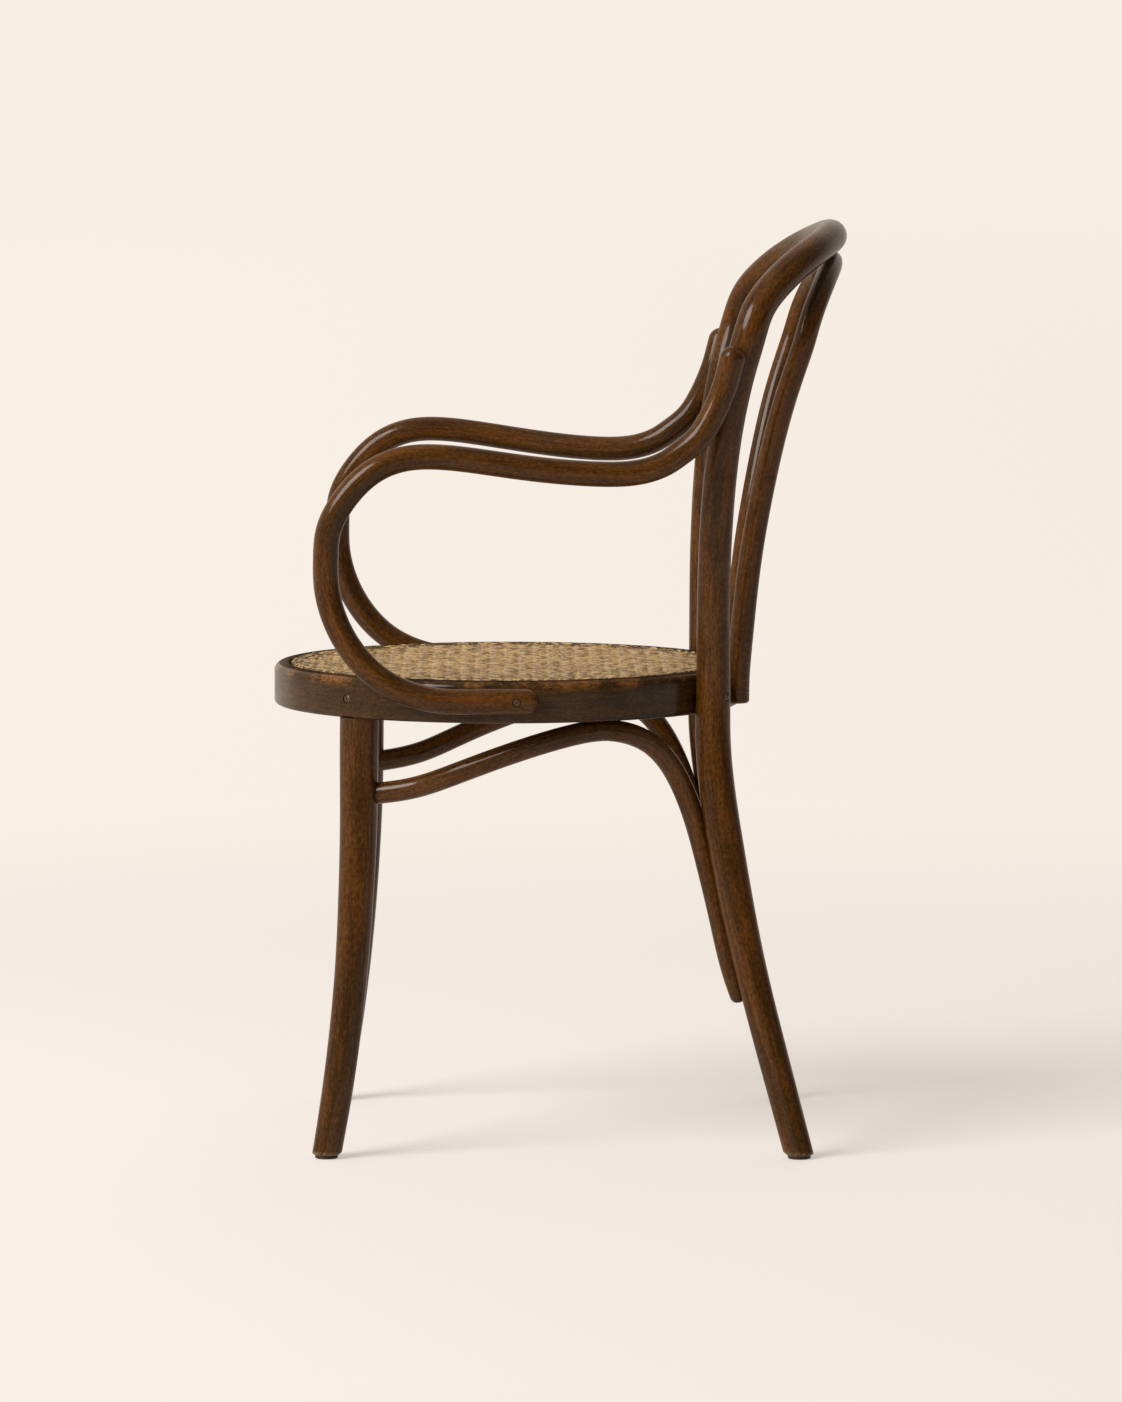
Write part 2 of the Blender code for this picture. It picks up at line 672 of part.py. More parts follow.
for side, hand in ((1, "left"), (-1, "right")):
    handed = (lambda rows: rows) if side == 1 else mirrored

    # Post and inner bow screws into the ring
    out_x, out_y = on_ring(POST_ANGLE, 1)
    outward = Vector((side * out_x, out_y, 0))
    head = SEAT_RADIUS + 2 * POST_SEAT_R - POST_NOTCH - HEAD_SINK
    screw("post_screw_" + hand, POST_SCREW_LENGTH, outward * head + Vector((0, 0, SCREW_LINE)), outward,
          back_bow, seat_ring)
    out_x, out_y = on_ring(INNER_ANGLE, 1)
    outward = Vector((side * out_x, out_y, 0))
    head = SEAT_RADIUS + 2 * INNER_LOW_R - INNER_NOTCH - HEAD_SINK
    screw("inner_bow_screw_" + hand, INNER_SCREW_LENGTH, outward * head + Vector((0, 0, SCREW_LINE)),
          outward, inner_bow, seat_ring)

    # Front leg, tenoned up into the ring and pinned from the ring's outside
    top_x, top_y = on_ring(180 - FRONT_ANGLE, SEAT_RADIUS - RING_WIDTH / 2)
    shoulder = RING_UNDER - TOUCH
    rows = []
    for down, out, ahead, r in front_leg_shape:
        rows.append((top_x + out * FRONT_SPLAY_OUT, top_y - ahead * FRONT_SPLAY_AHEAD,
                     shoulder * (1 - down), r))
    (x0, y0, z0, _), (x1, y1, z1, r1) = rows[-2:]
    past = (z1 - floor_reach) / (z0 - z1)
    rows.append((x1 + (x1 - x0) * past, y1 + (y1 - y0) * past, floor_reach, r1))
    leg_rows = rows
    leg_points = sample(handed(leg_rows))
    leg_mesh = rod_mesh("front_leg_" + hand, leg_points, THICK_SIDES)
    shade(leg_mesh)
    front_leg = adopt(bpy.data.objects.new("front_leg_" + hand, leg_mesh), wood("front_leg_" + hand), chair)
    leg_top_trim = bpy.data.meshes.new("leg_top_trim_" + hand)
    trim = bmesh.new()
    bmesh.ops.create_cube(trim, size=0.08)
    trim.to_mesh(leg_top_trim)
    trim.free()
    trim = adopt(bpy.data.objects.new("leg_top_trim_" + hand, leg_top_trim), wood("leg_trim_" + hand), tools)
    trim.location = (side * top_x, top_y, shoulder + 0.04)
    cut(front_leg, trim)
    tenon = turned(
        "tenon_" + hand,
        [(0, shoulder + TENON_LENGTH), (TENON_R, shoulder + TENON_LENGTH),
         (TENON_R, shoulder - TENON_LENGTH), (0, shoulder - TENON_LENGTH)],
        TURNED_STEPS * 2, wood("tenon_" + hand), tools,
    )
    tenon.location = (side * top_x, top_y, 0)
    union = front_leg.modifiers.new("tenon", "BOOLEAN")
    union.operation = "UNION"
    union.solver = "EXACT"
    union.object = tenon
    mortise = turned(
        "mortise_" + hand,
        [(0, shoulder + TENON_LENGTH + TOUCH), (TENON_R + TOUCH, shoulder + TENON_LENGTH + TOUCH),
         (TENON_R + TOUCH, shoulder - TENON_LENGTH), (0, shoulder - TENON_LENGTH)],
        TURNED_STEPS * 2, wood("mortise_" + hand), tools,
    )
    mortise.location = (side * top_x, top_y, 0)
    cut(seat_ring, mortise)
    outward = Vector((side * top_x, top_y, 0)).normalized()
    screw("leg_pin_screw_" + hand, PIN_SCREW_LENGTH,
          outward * (SEAT_RADIUS - HEAD_SINK) + Vector((0, 0, SCREW_LINE)), outward, seat_ring, front_leg)

    # Brace
    start = at_height(leg_rows, BRACE_HEIGHT)
    apex_y = BRACE_APEX_BACK
    ring_radius = SEAT_RADIUS - RING_WIDTH / 2
    apex_x = math.sqrt(ring_radius ** 2 - apex_y ** 2)
    apex_z = RING_UNDER - TOUCH - BRACE_R + BRACE_RING_NOTCH
    turn = math.radians(BRACE_LEG_TURN)
    leg_half = back_leg_half()

    def beside_leg(z):
        x, y, z, r = at_height(leg_half, z)
        reach = r + BRACE_R - BRACE_LEG_NOTCH
        return x - reach * math.cos(turn), y - reach * math.sin(turn), z, BRACE_R

    def under_ring(along, rise, follow):
        """Some way from the front leg to the top of the brace, as it takes up the ring's curve."""
        y = begin[1] + (apex[1] - begin[1]) * along
        ring_x = math.sqrt(ring_radius ** 2 - y ** 2)
        return begin[0] + (ring_x - begin[0]) * follow, y, begin[2] + (apex[2] - begin[2]) * rise, BRACE_R

    def to_leg(along, fall, inward):
        """Some way from the top of the brace down to the back leg."""
        return (apex[0] + (join[0] - apex[0]) * inward, apex[1] + (join[1] - apex[1]) * along,
                apex[2] + (join[2] - apex[2]) * fall, BRACE_R)

    begin = (start[0] - BRACE_INSET, start[1], start[2], BRACE_R)
    apex = (apex_x, apex_y, apex_z, BRACE_R)
    join = beside_leg(BRACE_JOIN_TOP)
    brace_rows = [
        begin,
        under_ring(0.22, 0.124, 0.38),
        under_ring(0.38, 0.339, 0.63),
        under_ring(0.54, 0.573, 0.77),
        under_ring(0.71, 0.789, 0.86),
        under_ring(0.86, 0.940, 0.94),
        apex,
        to_leg(0.22, 0.025, 0.28),
        to_leg(0.45, 0.110, 0.72),
        to_leg(0.67, 0.310, 1.15),
        to_leg(0.82, 0.560, 1.30),
        to_leg(0.91, 0.770, 1.20),
        join,
        beside_leg((BRACE_JOIN_TOP + BRACE_JOIN_LOW) / 2),
        beside_leg(BRACE_JOIN_LOW),
        beside_leg(BRACE_END),
    ]
    brace = rod("leg_brace_" + hand, sample(handed(brace_rows), round_end=True))
    cut(brace, rod_cutter("leg_cutter_" + hand, leg_points, THICK_SIDES), ring_cutter, bow_cutter)
    ahead = Vector((side * (begin[0] - brace_rows[1][0]), begin[1] - brace_rows[1][1], 0)).normalized()
    centre = Vector((side * begin[0], begin[1], begin[2]))
    deep = math.sqrt(start[3] ** 2 - BRACE_INSET ** 2) - HEAD_SINK
    screw("brace_front_screw_" + hand, BRACE_SCREW_LENGTH, centre + ahead * deep, ahead,
          front_leg, brace)
    screw("brace_seat_screw_" + hand, BRACE_UP_SCREW_LENGTH,
          (side * apex_x, apex_y, apex_z - BRACE_R + HEAD_SINK), (0, 0, -1), brace, seat_ring)
    x, y, z, r = beside_leg(BRACE_SCREW_UP)
    inward = Vector((-side * math.cos(turn), -math.sin(turn), 0))
    screw("brace_leg_screw_" + hand, BRACE_SCREW_LENGTH,
          Vector((side * x, y, z)) + inward * (BRACE_R - HEAD_SINK), inward, brace, back_bow)

    # Arm
    arm_z = SEAT_TOP - ARM_DROP
    arm_x = SEAT_RADIUS + ARM_R - ARM_RING_NOTCH
    turn = math.radians(ARM_POST_TURN)
    post_rows = bow_half[len(back_leg_shape):]

    def beside_post(z):
        x, y, z, r = at_height(post_rows, z)
        reach = r + ARM_R - ARM_POST_NOTCH
        return x + reach * math.cos(turn), y - reach * math.sin(turn), z, ARM_R

    grip_low = beside_post(ARM_TIP_HEIGHT - ARM_GRIP)
    arm_rows = [(arm_x, ARM_END_BACK, arm_z, ARM_R), (arm_x, ARM_SCREW_BACK, arm_z, ARM_R)]
    way_ahead = ARM_SCREW_BACK + ARM_FORWARD
    climb = ARM_HEIGHT - arm_z
    width_left = arm_x + ARM_SPREAD - grip_low[0]
    for ahead, out, up in arm_loop_shape:
        arm_rows.append((arm_x + out * ARM_SPREAD, ARM_SCREW_BACK - ahead * way_ahead,
                         arm_z + up * climb, ARM_R))
    for ahead, out, up in arm_rest_shape:
        arm_rows.append((grip_low[0] + out * width_left, ARM_SCREW_BACK - ahead * way_ahead,
                         arm_z + up * climb, ARM_R))
    way_back = grip_low[1] - ARM_SCREW_BACK
    fall_height = ARM_HEIGHT - (grip_low[2] - ARM_ELBOW_DROP)
    for back, out, fall, rise in arm_rear_shape:
        arm_rows.append((grip_low[0] + out * width_left, ARM_SCREW_BACK + back * way_back,
                         ARM_HEIGHT - fall * fall_height + rise * ARM_ELBOW_DROP, ARM_R))
    arm_rows += [grip_low, beside_post(ARM_TIP_HEIGHT - ARM_GRIP / 2), beside_post(ARM_TIP_HEIGHT)]
    arm = rod("arm_" + hand, sample(handed(arm_rows), round_start=True, round_end=True))
    cut(arm, ring_cutter, bow_cutter)
    screw("arm_seat_screw_" + hand, ARM_SCREW_LENGTH,
          (side * (arm_x + ARM_R - HEAD_SINK), ARM_SCREW_BACK, arm_z), (side, 0, 0), arm, seat_ring)
    x, y, z, r = at_height(post_rows, ARM_TIP_HEIGHT - ARM_GRIP / 2)
    inward = Vector((-side * math.cos(turn), math.sin(turn), 0))
    screw("arm_post_screw_" + hand, GRIP_SCREW_LENGTH, Vector((side * x, y, z)) + inward * (r - HEAD_SINK),
          inward, back_bow, arm)

    # Glides
    x, y, z, r = at_height(leg_rows, GLIDE_HEIGHT)
    glide("glide_front_" + hand, side * x, y, r, front_leg)
    x, y, z, r = at_height(leg_half, GLIDE_HEIGHT)
    glide("glide_back_" + hand, side * x, y, r, back_bow)
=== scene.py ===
# The looks of the bentwood armchair: its bent rods, seat hoop, woven cane, screws and glides
from math import atan2, cos, pi, radians, sin, sqrt

import bpy
import numpy as np
from mathutils import Matrix, Vector


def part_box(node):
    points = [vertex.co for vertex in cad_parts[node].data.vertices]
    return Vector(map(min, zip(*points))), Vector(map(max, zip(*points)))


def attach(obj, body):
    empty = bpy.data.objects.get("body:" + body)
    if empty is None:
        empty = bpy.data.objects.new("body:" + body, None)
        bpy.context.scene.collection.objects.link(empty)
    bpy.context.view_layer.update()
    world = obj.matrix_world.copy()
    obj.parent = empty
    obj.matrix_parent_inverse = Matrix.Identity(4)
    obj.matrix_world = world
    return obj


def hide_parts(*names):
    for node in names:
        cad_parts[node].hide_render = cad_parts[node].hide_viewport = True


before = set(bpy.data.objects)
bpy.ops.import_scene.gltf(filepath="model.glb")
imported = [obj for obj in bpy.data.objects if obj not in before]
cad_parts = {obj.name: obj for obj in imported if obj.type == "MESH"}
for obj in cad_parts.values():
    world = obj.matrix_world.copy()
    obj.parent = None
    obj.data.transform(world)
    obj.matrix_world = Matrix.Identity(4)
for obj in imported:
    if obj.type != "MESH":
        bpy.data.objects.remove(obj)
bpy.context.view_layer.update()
ringLow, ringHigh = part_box("seat_ring")
print("frame loaded:", len(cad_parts), "nodes")

# The chair faces -Y. Routes are written round the middle of the seat, and moved by seatPlace at the end.
seatPlace = Vector((0, (ringLow.y + ringHigh.y) / 2, 0))

seatTop, seatUnder, seatR = ringHigh.z, ringLow.z, ringHigh.x

seat = {
    "width": 0.036,
    "topRound": 0.008,
    "bottomRound": 0.004,
    "innerRound": 0.002,
    "edgeRound": 0.0006,  # outside the groove
    "landRound": 0.0012,  # along the hoop's inner edge
    "grooveInset": 0.017,
    "grooveWidth": 0.005,
    "grooveWear": 0.0026,  # the groove's outer edge, worn back from the reed
    "grooveDepth": 0.006,
    "landDrop": 0.0027,  # inside the groove, under the cane
    "screwDrop": 0.022,
    "steps": 224,
}
ringInside = seatR - seat["width"]
ringLine = seatR - seat["width"] / 2
screwLine = seatTop - seat["screwDrop"]
touch = 0.0003  # left between two pieces that rest on each other
moved = Matrix.Translation


# Routes of the rods

def smoothLine(stations):
    # a natural cubic spline through rows of x, y, z and radius
    points = np.array(stations, dtype=float)
    runs = np.linalg.norm(np.diff(points[:, :3], axis=0), axis=1)
    at = np.concatenate(([0.0], np.cumsum(runs)))
    count = len(points)
    matrix = np.zeros((count, count))
    right = np.zeros((count, 4))
    matrix[0, 0] = matrix[-1, -1] = 1.0
    for i in range(1, count - 1):
        matrix[i, i - 1] = runs[i - 1]
        matrix[i, i] = 2 * (runs[i - 1] + runs[i])
        matrix[i, i + 1] = runs[i]
        right[i] = 6 * ((points[i + 1] - points[i]) / runs[i] - (points[i] - points[i - 1]) / runs[i - 1])
    bend = np.linalg.solve(matrix, right)

    def place(s):
        i = int(np.clip(np.searchsorted(at, s) - 1, 0, count - 2))
        a, b, h = at[i + 1] - s, s - at[i], runs[i]
        return (
            bend[i] * a ** 3 / (6 * h) + bend[i + 1] * b ** 3 / (6 * h)
            + (points[i] / h - bend[i] * h / 6) * a + (points[i + 1] / h - bend[i + 1] * h / 6) * b
        )

    return place, at[-1]


def atHeight(stations, z):
    place, length = smoothLine(stations)
    low, high = 0.0, length
    rising = place(length)[2] > place(0)[2]
    for _ in range(40):
        middle = (low + high) / 2
        if (place(middle)[2] < z) == rising:
            low = middle
        else:
            high = middle
    return place((low + high) / 2)


def mirrored(stations, side=-1):
    # to the right, unless the side is 1
    return [(side * x, y, z, r) for x, y, z, r in stations]


def onRing(angle, distance):
    # seen from above, at an angle from straight behind
    turn = radians(angle)
    return distance * sin(turn), distance * cos(turn)


rods = {
    "step": 0.005,  # along the rod, between two rings of its mesh
    "resolution": 12,  # 28 sides
    "ballSteps": 9,  # in a rounded end
    "pastFloor": 0.012,  # before the foot is trimmed
}

backBow = {
    "height": 0.9035,
    "crestReach": 0.3195,
    "halfWidth": 0.182,
    "archRise": 0.1075,
    "squareness": 0.85,
    "earlyCurl": 0.2,  # share of the arch's curl back that keeps step with its rise
    "lean": 0.033,
    "angle": 35.6,
    "notch": 0.0012,
    "splayOut": 0.056,
    "splayBack": 0.0835,
    "crestR": 0.01525,
    "postR": 0.016,
    "seatR": 0.0168,
    "thighR": 0.0172,
    "footR": 0.0142,
}
crestZ = backBow["height"] - backBow["crestR"]
archFoot = backBow["height"] - backBow["archRise"]
ringMiddle = (seatTop + seatUnder) / 2
postX, postY = onRing(backBow["angle"], seatR + backBow["seatR"] - backBow["notch"])


def arch(halfWidth, foot, crest, radiusFoot, radiusCrest, earlyCurl):
    # half an arch that curls back as it rises; foot and crest are y and z
    stations = []
    for angle in (0, 15, 30, 45, 60, 75, 84, 90):
        rise = sin(radians(angle))
        curl = earlyCurl * rise + (1 - earlyCurl) * rise ** 2.2
        stations.append((
            halfWidth * max(0.0, cos(radians(angle))) ** backBow["squareness"],
            foot[0] + (crest[0] - foot[0]) * curl,
            foot[1] + (crest[1] - foot[1]) * rise,
            radiusFoot + (radiusCrest - radiusFoot) * rise,
        ))
    return stations


def pastTheFloor(rows):
    # one more row, straight on below the floor
    (x0, y0, z0, _), (x1, y1, z1, r1) = rows[-2:]
    past = (z1 + rods["pastFloor"]) / (z0 - z1)
    return rows + [(x1 + (x1 - x0) * past, y1 + (y1 - y0) * past, -rods["pastFloor"], r1)]


def backLegHalf():
    thigh, foot = backBow["thighR"], backBow["footR"]
    shape = (
        (0.1, 0.05, 0.0, thigh),
        (0.33, 0.37, 0.15, thigh),
        (0.58, 0.69, 0.417, 0.45 * thigh + 0.55 * foot),
        (0.8, 0.88, 0.716, 0.2 * thigh + 0.8 * foot),
        (1.0, 1.0, 1.0, foot),
    )  # down from the ring, out, back, radius
    return pastTheFloor([(postX, postY, ringMiddle, backBow["seatR"])] + [(
        postX + out * backBow["splayOut"], postY + back * backBow["splayBack"],
        ringMiddle * (1 - down), r,
    ) for down, out, back, r in shape])


def postHalf():
    wide, lean, r = backBow["halfWidth"], backBow["lean"], backBow["postR"]
    shape = ((0.25, 0.12, 0.0), (0.5, 0.33, 0.09), (0.75, 0.67, 0.37), (0.92, 0.9, 0.76))
    return [(
        postX + out * (wide - postX), postY + back * lean, ringMiddle + up * (archFoot - ringMiddle), r,
    ) for up, out, back in shape] + arch(
        wide, (postY + lean, archFoot), (backBow["crestReach"], crestZ), r, backBow["crestR"],
        backBow["earlyCurl"],
    )


innerBow = {
    "angle": 18.5,
    "notch": 0.004,
    "halfWidth": 0.125,
    "archDrop": 0.074,
    "archReach": 0.031,
    "earlyCurl": 0.62,
    "crestNotch": 0.0005,
    "endDrop": 0.013,
    "endRound": 0.0035,
    "topR": 0.0108,
    "lowR": 0.0117,
}
innerX, innerY = onRing(innerBow["angle"], seatR + innerBow["lowR"] - innerBow["notch"])
innerCrestZ = crestZ - backBow["crestR"] - innerBow["topR"] + innerBow["crestNotch"]


def innerHalf():
    archLow = innerCrestZ - innerBow["archDrop"]
    lean = backBow["crestReach"] - innerBow["archReach"] - innerY
    lowR, topR = innerBow["lowR"], innerBow["topR"]
    rows = [(innerX, innerY, screwLine - innerBow["endDrop"], lowR), (innerX, innerY, screwLine, lowR)]
    wide = innerBow["halfWidth"]
    shape = (
        (0.15, 0.03, 0.058), (0.37, 0.12, 0.19), (0.6, 0.36, 0.406),
        (0.83, 0.79, 0.702), (0.93, 0.94, 0.875),
    )  # up from the screws, out, back
    return rows + [(
        innerX + out * (wide - innerX), innerY + back * lean,
        screwLine + up * (archLow - screwLine), lowR + up * (topR - lowR),
    ) for up, out, back in shape] + arch(
        wide, (innerY + lean, archLow), (backBow["crestReach"], innerCrestZ), topR, topR,
        innerBow["earlyCurl"],
    )


frontLeg = {
    "angle": 47.5,
    "splayOut": 0.037,
    "splayAhead": 0.0325,
    "topR": 0.0188,
    "kneeR": 0.0173,
    "shinR": 0.0154,
    "footR": 0.0142,
}


def frontLegRows():
    top, knee, shin, foot = (frontLeg[k] for k in ("topR", "kneeR", "shinR", "footR"))
    shape = (
        (0.0, 0.0, 0.0, top),
        (0.08, 0.02, 0.01, top),
        (0.22, 0.13, 0.02, 0.5 * top + 0.5 * knee + 0.0003),
        (0.4, 0.33, 0.1, knee),
        (0.57, 0.55, 0.24, 0.4 * knee + 0.6 * shin),
        (0.74, 0.76, 0.47, shin),
        (0.88, 0.91, 0.73, 0.5 * shin + 0.5 * foot),
        (1.0, 1.0, 1.0, foot),
    )  # down from the ring, out, ahead, radius
    topX, topY = onRing(180 - frontLeg["angle"], ringLine)
    return pastTheFloor([(
        topX + out * frontLeg["splayOut"], topY - ahead * frontLeg["splayAhead"],
        (seatUnder - touch) * (1 - down), r,
    ) for down, out, ahead, r in shape])


armRest = {
    "r": 0.01225,
    "height": 0.6835,
    "tipDrop": 0.0085,
    "grip": 0.03,
    "elbowDrop": 0.0923,
    "postNotch": 0.003,
    "postTurn": 25.0,
    "ringNotch": 0.0022,
    "drop": 0.0182,
    "endBack": 0.0305,
    "screwBack": 0.009,
    "flat": 0.0028,  # pared off the outside of the lower end
    "flatRun": 0.06,  # ahead of the end, to where the flat fades out
    "paring": (0.02, 0.16, 0.06),  # the block that pares it
    "forward": 0.1735,
    "spread": 0.0045,
}
armTip = archFoot - armRest["tipDrop"]
armX = seatR + armRest["r"] - armRest["ringNotch"]
armZ = seatTop - armRest["drop"]


def armRows():
    loop = (
        (0.19, 0.1, 0.0), (0.4, 0.24, 0.004), (0.615, 0.48, 0.049), (0.734, 0.64, 0.104),
        (0.869, 0.82, 0.216), (0.953, 0.94, 0.339), (0.997, 1.0, 0.481), (1.0, 1.0, 0.582),
    )  # ahead of its screw, spread, height
    rest = (
        (0.984, 1.0, 0.704), (0.904, 0.99, 0.825), (0.729, 0.95, 0.953),
        (0.602, 0.92, 0.991), (0.41, 0.86, 1.0), (0.22, 0.78, 0.984),
    )  # ahead, width left outside the post, height
    rear = (
        (0.03, 0.66, 0.58, 0.0), (0.256, 0.42, 0.881, 0.0), (0.429, 0.25, 1.0, 0.0),
        (0.602, 0.12, 1.0, 0.027), (0.715, 0.06, 1.0, 0.119), (0.782, 0.03, 1.0, 0.22),
        (0.858, 0.01, 1.0, 0.361), (0.92, 0.0, 1.0, 0.567),
    )  # back, width left, fall to the lowest point, rise to the grip
    turn = radians(armRest["postTurn"])
    r = armRest["r"]
    post = postHalf()

    def besidePost(z):
        x, y, z, postR = atHeight(post, z)
        reach = postR + r - armRest["postNotch"]
        return x + reach * cos(turn), y - reach * sin(turn), z, r

    gripLow = besidePost(armTip - armRest["grip"])
    back = armRest["screwBack"]
    wayAhead = back + armRest["forward"]
    wayBack = gripLow[1] - back
    climb = armRest["height"] - armZ
    widthLeft = armX + armRest["spread"] - gripLow[0]
    fallHeight = armRest["height"] - (gripLow[2] - armRest["elbowDrop"])
    return [(armX, armRest["endBack"], armZ, r), (armX, back, armZ, r)] + [
        (armX + out * armRest["spread"], back - ahead * wayAhead, armZ + up * climb, r)
        for ahead, out, up in loop
    ] + [
        (gripLow[0] + out * widthLeft, back - ahead * wayAhead, armZ + up * climb, r)
        for ahead, out, up in rest
    ] + [(
        gripLow[0] + out * widthLeft, back + behind * wayBack,
        armRest["height"] - fall * fallHeight + rise * armRest["elbowDrop"], r,
    ) for behind, out, fall, rise in rear] + [
        gripLow, besidePost(armTip - armRest["grip"] / 2), besidePost(armTip),
    ]


brace = {
    "r": 0.0105,
    "height": 0.35,
    "inset": 0.0055,
    "apexBack": 0.0945,
    "ringNotch": 0.0006,
    "legNotch": 0.0012,
    "legTurn": 50.0,
    "joinTop": 0.2385,
    "joinLow": 0.1625,
    "end": 0.1485,
    "endR": 0.007,  # it is pared down towards its end
    "screwUp": 0.1925,
}


def besideBackLeg(z):
    turn = radians(brace["legTurn"])
    x, y, z, legR = atHeight(backLegHalf(), z)
    reach = legR + brace["r"] - brace["legNotch"]
    return x - reach * cos(turn), y - reach * sin(turn), z, brace["r"]


def braceRows():
    r = brace["r"]
    start = atHeight(frontLegRows(), brace["height"])
    begin = (start[0] - brace["inset"], start[1], start[2], r)
    apexX = sqrt(ringLine ** 2 - brace["apexBack"] ** 2)
    apex = (apexX, brace["apexBack"], seatUnder - touch - r + brace["ringNotch"], r)
    join = besideBackLeg(brace["joinTop"])
    rows = [begin]
    for along, rise, follow in (
        (0.22, 0.124, 0.38), (0.38, 0.339, 0.63), (0.54, 0.573, 0.77),
        (0.71, 0.789, 0.86), (0.86, 0.94, 0.94),
    ):  # up from the front leg, taking up the ring's curve
        y = begin[1] + (apex[1] - begin[1]) * along
        ringX = sqrt(ringLine ** 2 - y ** 2)
        height = begin[2] + (apex[2] - begin[2]) * rise
        rows.append((begin[0] + (ringX - begin[0]) * follow, y, height, r))
    rows.append(apex)
    for along, fall, inward in (
        (0.22, 0.025, 0.28), (0.45, 0.11, 0.72), (0.67, 0.31, 1.15),
        (0.82, 0.56, 1.3), (0.91, 0.77, 1.2),
    ):  # down to the back leg
        rows.append((
            apex[0] + (join[0] - apex[0]) * inward, apex[1] + (join[1] - apex[1]) * along,
            apex[2] + (join[2] - apex[2]) * fall, r,
        ))
    middle = besideBackLeg((brace["joinTop"] + brace["joinLow"]) / 2)
    low, end = besideBackLeg(brace["joinLow"]), besideBackLeg(brace["end"])
    return rows + [join, middle, (*low[:3], 0.5 * (r + brace["endR"])), (*end[:3], brace["endR"])]


# Mesh helpers

def clearSelection():
    bpy.ops.object.select_all(action="DESELECT")


def pick(piece):
    clearSelection()
    piece.select_set(True)
    bpy.context.view_layer.objects.active = piece


def editAll(piece):
    pick(piece)
    bpy.ops.object.mode_set(mode="EDIT")
    bpy.ops.mesh.select_all(action="SELECT")


def cleanMesh(piece):
    editAll(piece)
    bpy.ops.mesh.remove_doubles(threshold=0.00001)
    bpy.ops.mesh.normals_make_consistent()
    bpy.ops.object.mode_set(mode="OBJECT")


def smoothShade(piece, angle=38):
    pick(piece)
    bpy.ops.object.shade_smooth_by_angle(angle=radians(angle))


def seated(piece, x=0, y=0):
    # from the middle of the seat to its place in the frame
    piece.data.transform(moved(seatPlace + Vector((x, y, 0))))
    return piece


def drawCurve(name, lines, resolution, section=None):
    # a mesh along lines of rows of x, y, z and radius, with a round or a given section
    clearSelection()
    bpy.ops.curve.primitive_nurbs_path_add()
    piece = bpy.context.object
    piece.name = name
    curve = piece.data
    curve.splines.clear()
    curve.use_fill_caps = True
    if section:
        curve.twist_mode = "Z_UP"
        curve.bevel_mode = "OBJECT"
        curve.bevel_object = section
    else:
        curve.twist_mode = "MINIMUM"
        curve.bevel_depth = 1.0
        curve.bevel_resolution = resolution
    for rows in lines:
        line = curve.splines.new("POLY")
        line.points.add(len(rows) - 1)
        for knot, (x, y, z, r) in zip(line.points, rows):
            knot.co = (x, y, z, 1)
            knot.radius = r
    bpy.ops.object.convert(target="MESH")
    piece = bpy.context.object
    piece.data.name = name
    return piece


def bendRod(name, rows, startRound=0.0, endRound=0.0):
    # a rod whose ends are rounded by a radius, with its route
    place, length = smoothLine(rows)
    startAt, endAt = startRound, length - endRound
    route = [place(s) for s in np.linspace(startAt, endAt, max(3, int((endAt - startAt) / rods["step"])))]
    for rounding, at, way in ((endRound, endAt, 1), (startRound, startAt, -1)):
        full = place(at)[3]
        for i in range(1, rods["ballSteps"] if rounding else 1):
            angle = radians(90 * i / rods["ballSteps"])
            tip = place(at + way * rounding * sin(angle))
            tip[3] = full - rounding + rounding * cos(angle)
            route.insert(len(route) if way > 0 else 0, tip)
    rod = seated(drawCurve(name, [route], rods["resolution"]))
    cleanMesh(rod)
    return rod, np.array(route)[:, :3] + np.array(seatPlace)


def turnProfile(name, profile, steps):
    # a circle drawn out through a profile's radii and heights, from the top down
    pole = 0.000001
    rows = [(max(r, pole), z) for r, z in profile]
    if rows[0][0] > pole or rows[-1][0] > pole:
        rows.append(rows[0])
    clearSelection()
    bpy.ops.mesh.primitive_circle_add(vertices=steps, radius=rows[0][0])
    piece = bpy.context.object
    piece.name = piece.data.name = name
    editAll(piece)
    bpy.ops.transform.translate(value=(0, 0, rows[0][1]))
    for (r, z), (nextR, nextZ) in zip(rows, rows[1:]):
        bpy.ops.mesh.extrude_region_move(TRANSFORM_OT_translate={"value": (0, 0, nextZ - z)})
        bpy.ops.transform.resize(value=(nextR / r, nextR / r, 1), center_override=(0, 0, nextZ))
    bpy.ops.object.mode_set(mode="OBJECT")
    cleanMesh(piece)
    return piece


def arc(centre, radius, first, last, steps):
    angles = [radians(first + (last - first) * i / steps) for i in range(steps + 1)]
    return [(centre[0] + radius * cos(a), centre[1] + radius * sin(a)) for a in angles]


def carve(piece, cutters):
    # cuts the piece by each cutter in turn, and removes the cutters
    for cutter in cutters:
        pick(piece)
        step = piece.modifiers.new("carve", "BOOLEAN")
        step.operation = "DIFFERENCE"
        step.solver = "EXACT"
        step.object = cutter
        bpy.ops.object.modifier_apply(modifier=step.name)
        bpy.data.objects.remove(cutter)


def block(matrix):
    # a cube of 1 m, put in its shape and place
    bpy.ops.mesh.primitive_cube_add(size=1)
    bpy.context.object.data.transform(matrix)
    return bpy.context.object


def joined(pieces):
    pick(pieces[0])
    for piece in pieces[1:]:
        piece.select_set(True)
    if len(pieces) > 1:
        bpy.ops.object.join()
    return bpy.context.object


def aimed(piece, place, outward):
    turn = Vector(outward).to_track_quat("Z", "Y").to_matrix().to_4x4()
    piece.data.transform(moved(Vector(place) + seatPlace) @ turn)
    return piece


